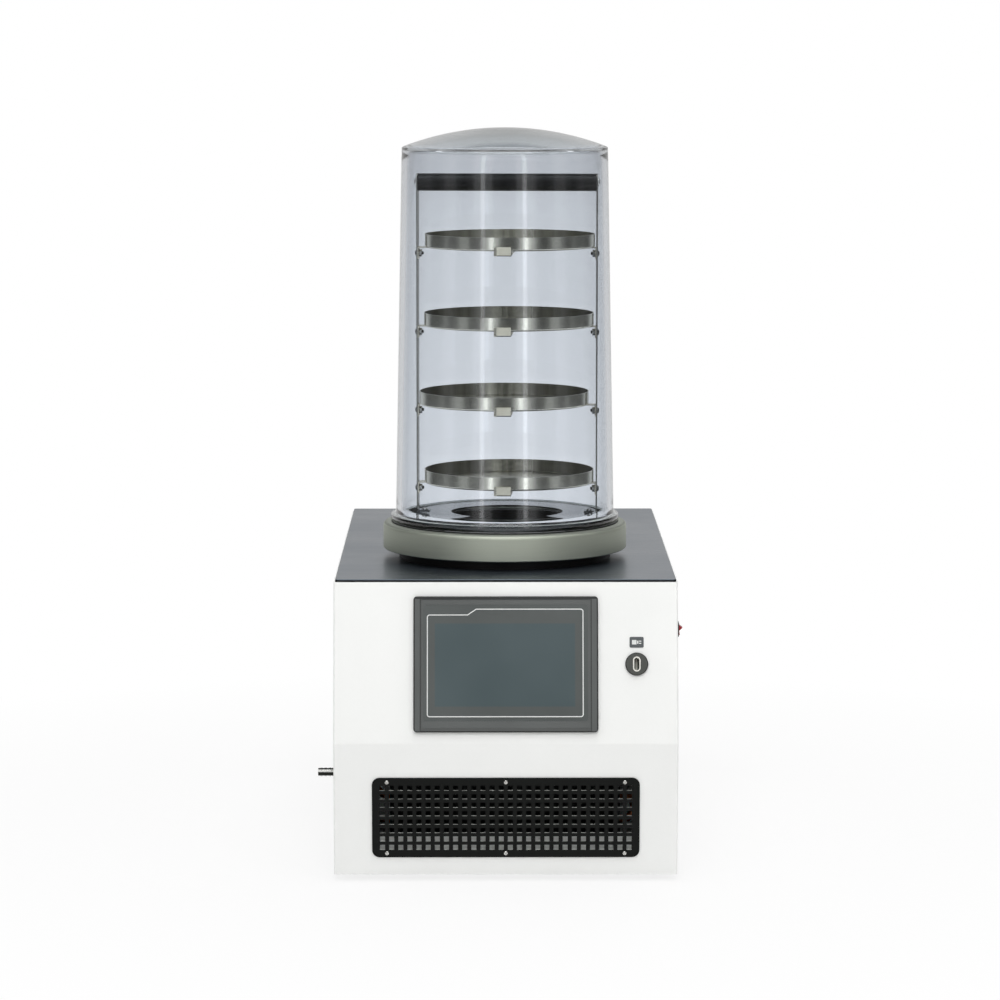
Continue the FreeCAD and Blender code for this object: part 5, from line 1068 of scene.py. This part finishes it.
@dataclass
class ScrewSet:
    """Domed screws of one size. The head's dome is h(r) = height (1 - (r / R)^2)^0.5, less its recess."""

    name: str
    node: str
    head_radius: float
    head_height: float
    shank_radius: float
    length: float
    drive: Drive
    places: list[Place]
    rings: int = 14
    segments: int = 40

    def head(self, x: np.ndarray, y: np.ndarray, radius: np.ndarray) -> np.ndarray:
        """Height of the head above its seat, with the recess cut in.

        Args:
            x, y: local points.
            radius: their distance from the axis.

        Returns:
            Their heights.
        """
        share = np.clip(radius / self.head_radius, 0.0, 1.0)
        dome = self.head_height * np.sqrt(np.clip(1.0 - 0.88 * share ** 2.4, 0.0, 1.0))
        if self.drive is Drive.CROSS:
            reach, half = self.head_radius * 0.62, self.head_radius * 0.13
            arms = np.minimum(np.maximum(np.abs(x) / half, np.abs(y) / reach),
                              np.maximum(np.abs(y) / half, np.abs(x) / reach))
            depth = self.head_height * 0.55
        else:
            corner = np.maximum(np.abs(x), np.maximum(np.abs(0.5 * x + 0.866 * y), np.abs(0.5 * x - 0.866 * y)))
            arms = corner / (self.head_radius * 0.46)
            depth = self.head_height * 0.6
        return dome - depth * np.clip((1.12 - arms) / 0.24, 0.0, 1.0)

    def one(self) -> Skin:
        """One screw about its axis: rings from the shank's end up to the head's middle.

        Returns:
            Its skin.
        """
        angle = np.linspace(0.0, 2.0 * math.pi, self.segments, endpoint=False)
        shank = [(self.shank_radius * 0.7, -self.length), (self.shank_radius, -self.length + 0.6),
                 (self.shank_radius, -0.01), (self.head_radius * 0.985, 0.0), (self.head_radius, 0.12)]
        dome = self.head_radius * (1.0 - np.linspace(0.0, 0.96, self.rings) ** 1.15)
        radius = np.concatenate([[r for r, _ in shank], dome])[:, None]
        x, y = radius * np.cos(angle), radius * np.sin(angle)
        z = self.head(x, y, radius + 0.0 * angle)
        z[:len(shank)] = np.array([h for _, h in shank])[:, None]
        rim = self.head(x[len(shank)], y[len(shank)], radius[len(shank)])
        z[len(shank)] = np.maximum(rim, 0.2)
        middle = float(self.head(np.zeros(1), np.zeros(1), np.zeros(1))[0])
        return capped(np.stack([x, y, z], axis=-1), -self.length, middle)

    def build(self, material: Material) -> None:
        """Sets a copy of the screw at every place, each turned a little differently.

        Args:
            material: its material.
        """
        points, faces = self.one()
        copies = []
        for index, (plane, u, v, w) in enumerate(self.places):
            turn = 0.7 * index + 0.3
            spun = points @ np.array([[math.cos(turn), math.sin(turn), 0], [-math.sin(turn), math.cos(turn), 0],
                                      [0, 0, 1]])
            copies.append((plane.place(spun + np.array([u, v, w])), faces))
        made = mesh_piece(self.name, *merged(copies), material)
        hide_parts(self.node)
        LOG.info("%s: %d screws", self.name, len(copies))


FOOT_SCREW_X = 96.3     # from the rack's axis
FOOT_TOP = 11.7         # above the ring
SHELF_SCREW_LOW = 38.4  # the lowest shelf's screws above the ring
SHELF_PITCH = 91.4
HANDLE_UP = 394.7       # the handle's axis above the ring
GRILLE_DOWN, GRILLE_ROW, GRILLE_COLUMN = 84.85, 41.1, 133.3
REAR_COLUMN, REAR_ROWS = 187.0, (20.0, 115.0, 215.0, 308.0)


def rack_screw_places() -> list[Place]:
    """Where the rack's screws sit.

    Returns:
        The shelves' screws outside both uprights, then the two screws of the feet.
    """
    places = [(rack_plane(side), 0.0, SHELF_SCREW_LOW + SHELF_PITCH * k, 0.0)
              for k in range(4) for side in (-1, 1)]
    for side in (-1, 1):
        reach = side * FOOT_SCREW_X
        floor = Plane((RACK_AXIS[0] + reach * math.cos(RACK_TURN), RACK_AXIS[1] + reach * math.sin(RACK_TURN),
                       RING_TOP), (1, 0, 0), (0, 1, 0), (0, 0, 1))
        places.append((floor, 0.0, 0.0, FOOT_TOP))
    return places


@dataclass
class Fasteners:
    """All the bright screws that show."""

    def build(self) -> None:
        """Builds the grille's, the rear panel's, the handle's and the rack's screws."""
        bright, pale, dark = SCREW.material(), PALE_SCREW.material(), DARK_SCREW.material()
        cross, socket = Drive.CROSS, Drive.SOCKET
        grille = [(LOWER_FRONT, u, -GRILLE_DOWN + side * GRILLE_ROW, 1.5) for side in (-1, 1)
                  for u in (-GRILLE_COLUMN, 0.0, GRILLE_COLUMN)]
        rear = [(REAR, side * REAR_COLUMN, v, 0.0) for side in (-1, 1) for v in REAR_ROWS]
        handle = [(rack_plane(side), 0.0, HANDLE_UP, 0.0) for side in (-1, 1)]
        rack = rack_screw_places()
        ScrewSet("grille_cross_screws", "grille_screws", 2.4, 1.9, 1.5, 6.0, cross, grille).build(bright)
        ScrewSet("rear_cross_screws", "panel_screws", 3.6, 2.4, 2.0, 9.0, cross, rear).build(bright)
        ScrewSet("handle_socket_screws", "handle_screws", 5.2, 3.5, 2.5, 13.0, socket, handle).build(pale)
        ScrewSet("shelf_socket_screws", "rack_screws", 3.4, 2.6, 1.9, 8.0, socket, rack[:-2]).build(dark)
        ScrewSet("foot_cross_screws", "rack_screws", 3.4, 2.0, 1.9, 6.0, cross, rack[-2:]).build(pale)


# ================================================================ touch panel and print
@dataclass
class TouchPanel:
    """Printed outline on the glass and the display behind it. Sizes in millimetres from the fold's middle."""

    left: float = -87.7
    right: float = 86.4
    low: float = 30.4
    high: float = 150.6
    step: float = 144.1
    step_start: float = -42.8
    step_end: float = -33.0
    corner: float = 2.6
    line: float = 1.1
    face: float = 5.0
    display: Four = (-79.3, 77.5, 41.7, 134.6)

    def outline(self) -> np.ndarray:
        """The stepped outline with its four corners rounded.

        Returns:
            Rows of u, v.
        """
        c = self.corner
        points = arc((self.left + c, self.low + c), c, 180, 270, 8)
        points += arc((self.right - c, self.low + c), c, 270, 360, 8)
        points += arc((self.right - c, self.high - c), c, 0, 90, 8)
        points += [(self.step_end, self.high), (self.step_start, self.step)]
        points += arc((self.left + c, self.step - c), c, 90, 180, 8)
        return np.array(points)

    def build(self) -> None:
        """Lays the outline on the glass and dresses the glass."""
        points, faces = ribbon(self.outline(), self.line, self.face - 0.1, self.face + 0.06, True)
        mesh_piece("screen_outline", UPPER_FRONT.place(points), faces, INK.material(), smooth=False)
        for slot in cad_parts["touch_screen"].material_slots:
            slot.material = self.glass()
        LOG.info("screen_outline: stepped line of %.1f mm", self.line)

    def glass(self) -> Material:
        """Glass over a dark border and a switched-off display, whose edge is a soft mask of a rectangle.

        Returns:
            The material.
        """
        made, graph, shader = new_material("screen_glass")
        place = graph.frame(tuple(c * MM for c in UPPER_FRONT.origin), (90 - UPPER_LEAN, 0.0, 0.0))
        u, v, _ = graph.split(place)
        left, right, low, high = (value * MM for value in self.display)
        edge = graph.math("MAXIMUM", graph.past(u, (right - left) / 2, (left + right) / 2),
                          graph.past(v, (high - low) / 2, (low + high) / 2))
        mask = graph.span(edge, -0.0006, 0.0006, 1.0, 0.0)
        tone = graph.span(graph.noise(place, 7.0), 0.3, 0.7, 0.0, 1.0)
        border = graph.blend(tone, linear(79, 83, 82), linear(86, 90, 89))
        dark = graph.blend(tone, linear(68, 81, 84), linear(77, 90, 93))
        graph.fill(shader, Base_Color=graph.blend(mask, border, dark), Specular_IOR_Level=0.45,
                   Roughness=graph.span(tone, 0.0, 1.0, 0.30, 0.38))
        return made


@dataclass
class SmallPrint:
    """Plain marks: a plug shape on the label beside the data socket. Sizes in millimetres.

    Each mark is a bar: its start and end to the right of the label's middle, its height above it, its width.
    """

    middle: Pair = (146.5, 113.7)
    label_face: float = 0.5
    marks: tuple[Four, ...] = ((-5.2, -0.2, 0.0, 5.0), (0.4, 2.0, 0.0, 3.4), (2.6, 5.2, 1.2, 1.1),
                               (2.6, 5.2, -1.2, 1.1))

    def build(self) -> None:
        """Lays the label's marks."""
        u, v = self.middle
        low, high = self.label_face - 0.05, self.label_face + 0.08
        parts = [ribbon(np.array([(u + start, v + up), (u + end, v + up)]), width, low, high, False)
                 for start, end, up, width in self.marks]
        points, faces = merged(parts)
        mesh_piece("label_marks", UPPER_FRONT.place(points), faces, INK.material(), smooth=False)
        LOG.info("label_marks: plug shape")


# ================================================================ studio
@dataclass
class Studio:
    """Pale floor, soft lamps, a white surround and the camera."""

    floor_radius: float = 9.0
    camera_place: Triple = (-0.01699, -4.61203, 0.95126)
    camera_turn: Triple = (90 - 6.93, 0.0, -0.23)
    lens: float = 139.4
    streaks: tuple[Pair, ...] = (
        (-180.0, 0.70), (-145.0, 0.70), (-122.0, 0.12), (-100.0, 0.14), (-92.0, 0.24), (-84.0, 0.12),
        (-80.0, 0.10), (-72.0, 0.22), (-66.0, 0.45), (-58.0, 0.45), (-52.0, 0.16), (-44.0, 0.08),
        (-37.0, 0.20), (-31.0, 0.65), (-27.0, 0.75), (-25.3, 2.25), (-22.7, 2.25), (-20.5, 0.75),
        (-16.0, 0.65), (-11.0, 0.14), (0.0, 0.07), (10.0, 0.14), (14.5, 0.65), (18.0, 0.75), (20.0, 2.25),
        (22.6, 2.25), (24.6, 0.75), (29.5, 0.65), (37.0, 0.20), (44.0, 0.08), (52.0, 0.16), (58.0, 0.45),
        (66.0, 0.45), (72.0, 0.22), (80.0, 0.10), (84.0, 0.12), (92.0, 0.24), (100.0, 0.14),
        (122.0, 0.12), (145.0, 0.70), (180.0, 0.70))
    bands: tuple[Triple, ...] = (
        (-0.4, 2.4, -1.0), (0.0, 2.4, -1.0), (1.6, 2.4, -1.0), (2.6, 2.4, -1.0), (2.85, 2.4, 0.16),
        (3.1, 2.4, 0.16), (3.2, 2.4, 1.6), (3.5, 2.4, 1.6), (3.6, 2.4, 0.22), (4.4, 1.6, 0.30),
        (4.7, 0.02, 0.30))

    def build(self) -> None:
        """Builds the world, the floor, the surround, the lamps and the camera."""
        self.view_settings()
        self.world()
        self.floor()
        self.surround()
        self.lamp("key_lamp", (-0.1, -3.5, 2.9), (1.6, 1.8), 50.0)
        self.lamp("fill_lamp", (2.4, -3.0, 2.4), (2.0, 2.0), 8.0)
        self.lamp("top_lamp", (0.0, -0.9, 3.6), (2.6, 2.6), 61.0)
        self.lamp("rear_lamp", (0.6, 3.2, 2.6), (2.6, 2.0), 26.0)
        self.camera()
        LOG.info("studio: world, floor, streaks, four lamps and the camera")

    @staticmethod
    def view_settings() -> None:
        """Sets the plain display transform."""
        bpy.context.scene.view_settings.view_transform = "Standard"

    @staticmethod
    def world() -> None:
        """White where it is seen straight, mirrored or through glass, and a plain grey level as light."""
        world = bpy.data.worlds.new("white_surround")
        world.use_nodes = True
        bpy.context.scene.world = world
        graph = Graph(world.node_tree)
        graph.fill(world.node_tree.nodes["Background"], Color=(1.0, 1.0, 1.0),
                   Strength=graph.span(graph.seen_plainly(), 0.0, 1.0, 0.38, 1.0))

    def floor(self) -> None:
        """A pale disc that fades into the white surround and keeps the shadow near the feet."""
        points, faces = lathe(np.array([(0.0, -0.02), (0.4, -0.02), (self.floor_radius, -0.02),
                                        (self.floor_radius, 0.0), (0.4, 0.0), (0.0, 0.0)]), 96)
        made, graph, shader = new_material("pale_floor")
        graph.fill(shader, Base_Color=(0.85, 0.85, 0.85), Roughness=0.9, Specular_IOR_Level=0.1)
        glow = graph.fill(graph.add("ShaderNodeEmission"), Color=(1.0, 1.0, 1.0))
        away = graph.vector("LENGTH", graph.space()).outputs["Value"]
        share = graph.span(away, 0.45, 1.1, 0.82, 1.0)
        graph.surface(graph.math("MULTIPLY", share, graph.seen_plainly()), shader, glow)
        disc = self.stage_mesh("floor", points, [face for skin in faces for face in skin.tolist()], made)

    @staticmethod
    def stage_mesh(name: str, points: np.ndarray, faces: list[list[int]],
                   material: Material) -> Thing:
        """Makes a mesh that belongs to the studio and not to the part.

        Args:
            name: the object's name.
            points: n rows of x, y, z in metres.
            faces: each face's point numbers.
            material: its material.

        Returns:
            The object.
        """
        mesh = bpy.data.meshes.new(name)
        mesh.from_pydata(points.tolist(), [], faces)
        mesh.materials.append(material)
        return linked(name, mesh)

    def surround(self) -> None:
        """A closed surround of soft light and shade that only mirrors see, so that metal and jar get streaks.

        Round its wall the light is a smooth curve through the pairs of azimuth and level in self.streaks,
        read with a raised cosine between neighbours. Each row of self.bands is a height, a radius and a
        level; a level below 0 means the wall's own, and the rows above it close the roof.
        """
        steps = 721
        azimuth = np.linspace(-180.0, 180.0, steps)
        known = np.array(self.streaks)
        place = np.interp(azimuth, known[:, 0], np.arange(len(known)))
        whole = np.minimum(place.astype(int), len(known) - 2)
        share = 0.5 - 0.5 * np.cos(math.pi * (place - whole))
        level = known[whole, 1] * (1.0 - share) + known[whole + 1, 1] * share
        angle = np.radians(azimuth) - math.pi / 2
        bands = np.array(self.bands)
        plain = bands[:, 2:]
        light_level = np.where(plain < 0.0, level, plain)
        points = np.stack([bands[:, 1:2] * np.cos(angle), bands[:, 1:2] * np.sin(angle) - 0.1,
                           bands[:, :1] + 0.0 * angle], axis=-1).reshape(-1, 3)
        quads = grid_quads(len(bands), steps, closed=False)
        wall = self.stage_mesh("streak_surround", points, quads.tolist(), self.surround_light())
        light = wall.data.attributes.new("level", "FLOAT", "POINT")
        light.data.foreach_set("value", light_level.astype(np.float32).ravel())
        wall.visible_camera = False
        wall.visible_diffuse = False
        wall.visible_shadow = False

    @staticmethod
    def surround_light() -> Material:
        """Plain light of the wall's own level, there only for rays that a mirror has turned.

        Returns:
            The material.
        """
        made, graph, _ = new_material("streak_light")
        level = graph.add("ShaderNodeAttribute", attribute_name="level").outputs["Fac"]
        light = graph.fill(graph.add("ShaderNodeEmission"), Strength=level)
        rays = graph.add("ShaderNodeLightPath").outputs
        mirrored = graph.math("MINIMUM", rays["Glossy Depth"], 1.0)
        graph.surface(mirrored, graph.add("ShaderNodeBsdfTransparent"), light)
        return made

    @staticmethod
    def lamp(name: str, place: Triple, size: Pair, power: float) -> None:
        """Adds a soft lamp that faces the middle of the object.

        Args:
            name: the lamp's name.
            place: where it hangs, in metres.
            size: its width and height.
            power: in watts.
        """
        data = bpy.data.lights.new(name, "AREA")
        data.shape = "RECTANGLE"
        data.size, data.size_y = size
        data.energy = power
        made = linked(name, data)
        back = np.array(place) - np.array([0.0, 0.0, 0.42])
        made.location = place
        azimuth = math.atan2(back[0], -back[1])
        tilt = math.atan2(back[2], math.hypot(back[0], back[1]))
        made.rotation_euler = (math.pi / 2 - tilt, 0.0, azimuth)
        made.visible_camera = False

    def camera(self) -> None:
        """Places the camera."""
        data = bpy.data.cameras.new("camera")
        data.lens = self.lens
        data.sensor_width = 36.0
        data.clip_end = 100.0
        made = linked("camera", data)
        made.location = self.camera_place
        made.rotation_euler = tuple(math.radians(a) for a in self.camera_turn)
        bpy.context.scene.camera = made


def main() -> None:
    """Builds the studio, the new pieces and the finishes."""
    logging.basicConfig(level=logging.INFO, format="%(name)s: %(message)s")
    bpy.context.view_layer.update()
    Studio().build()
    dress_nodes()
    for part in (BellJar(), Fasteners(), TouchPanel(), SmallPrint()):
        part.build()


if __name__ == "__main__":
    main()
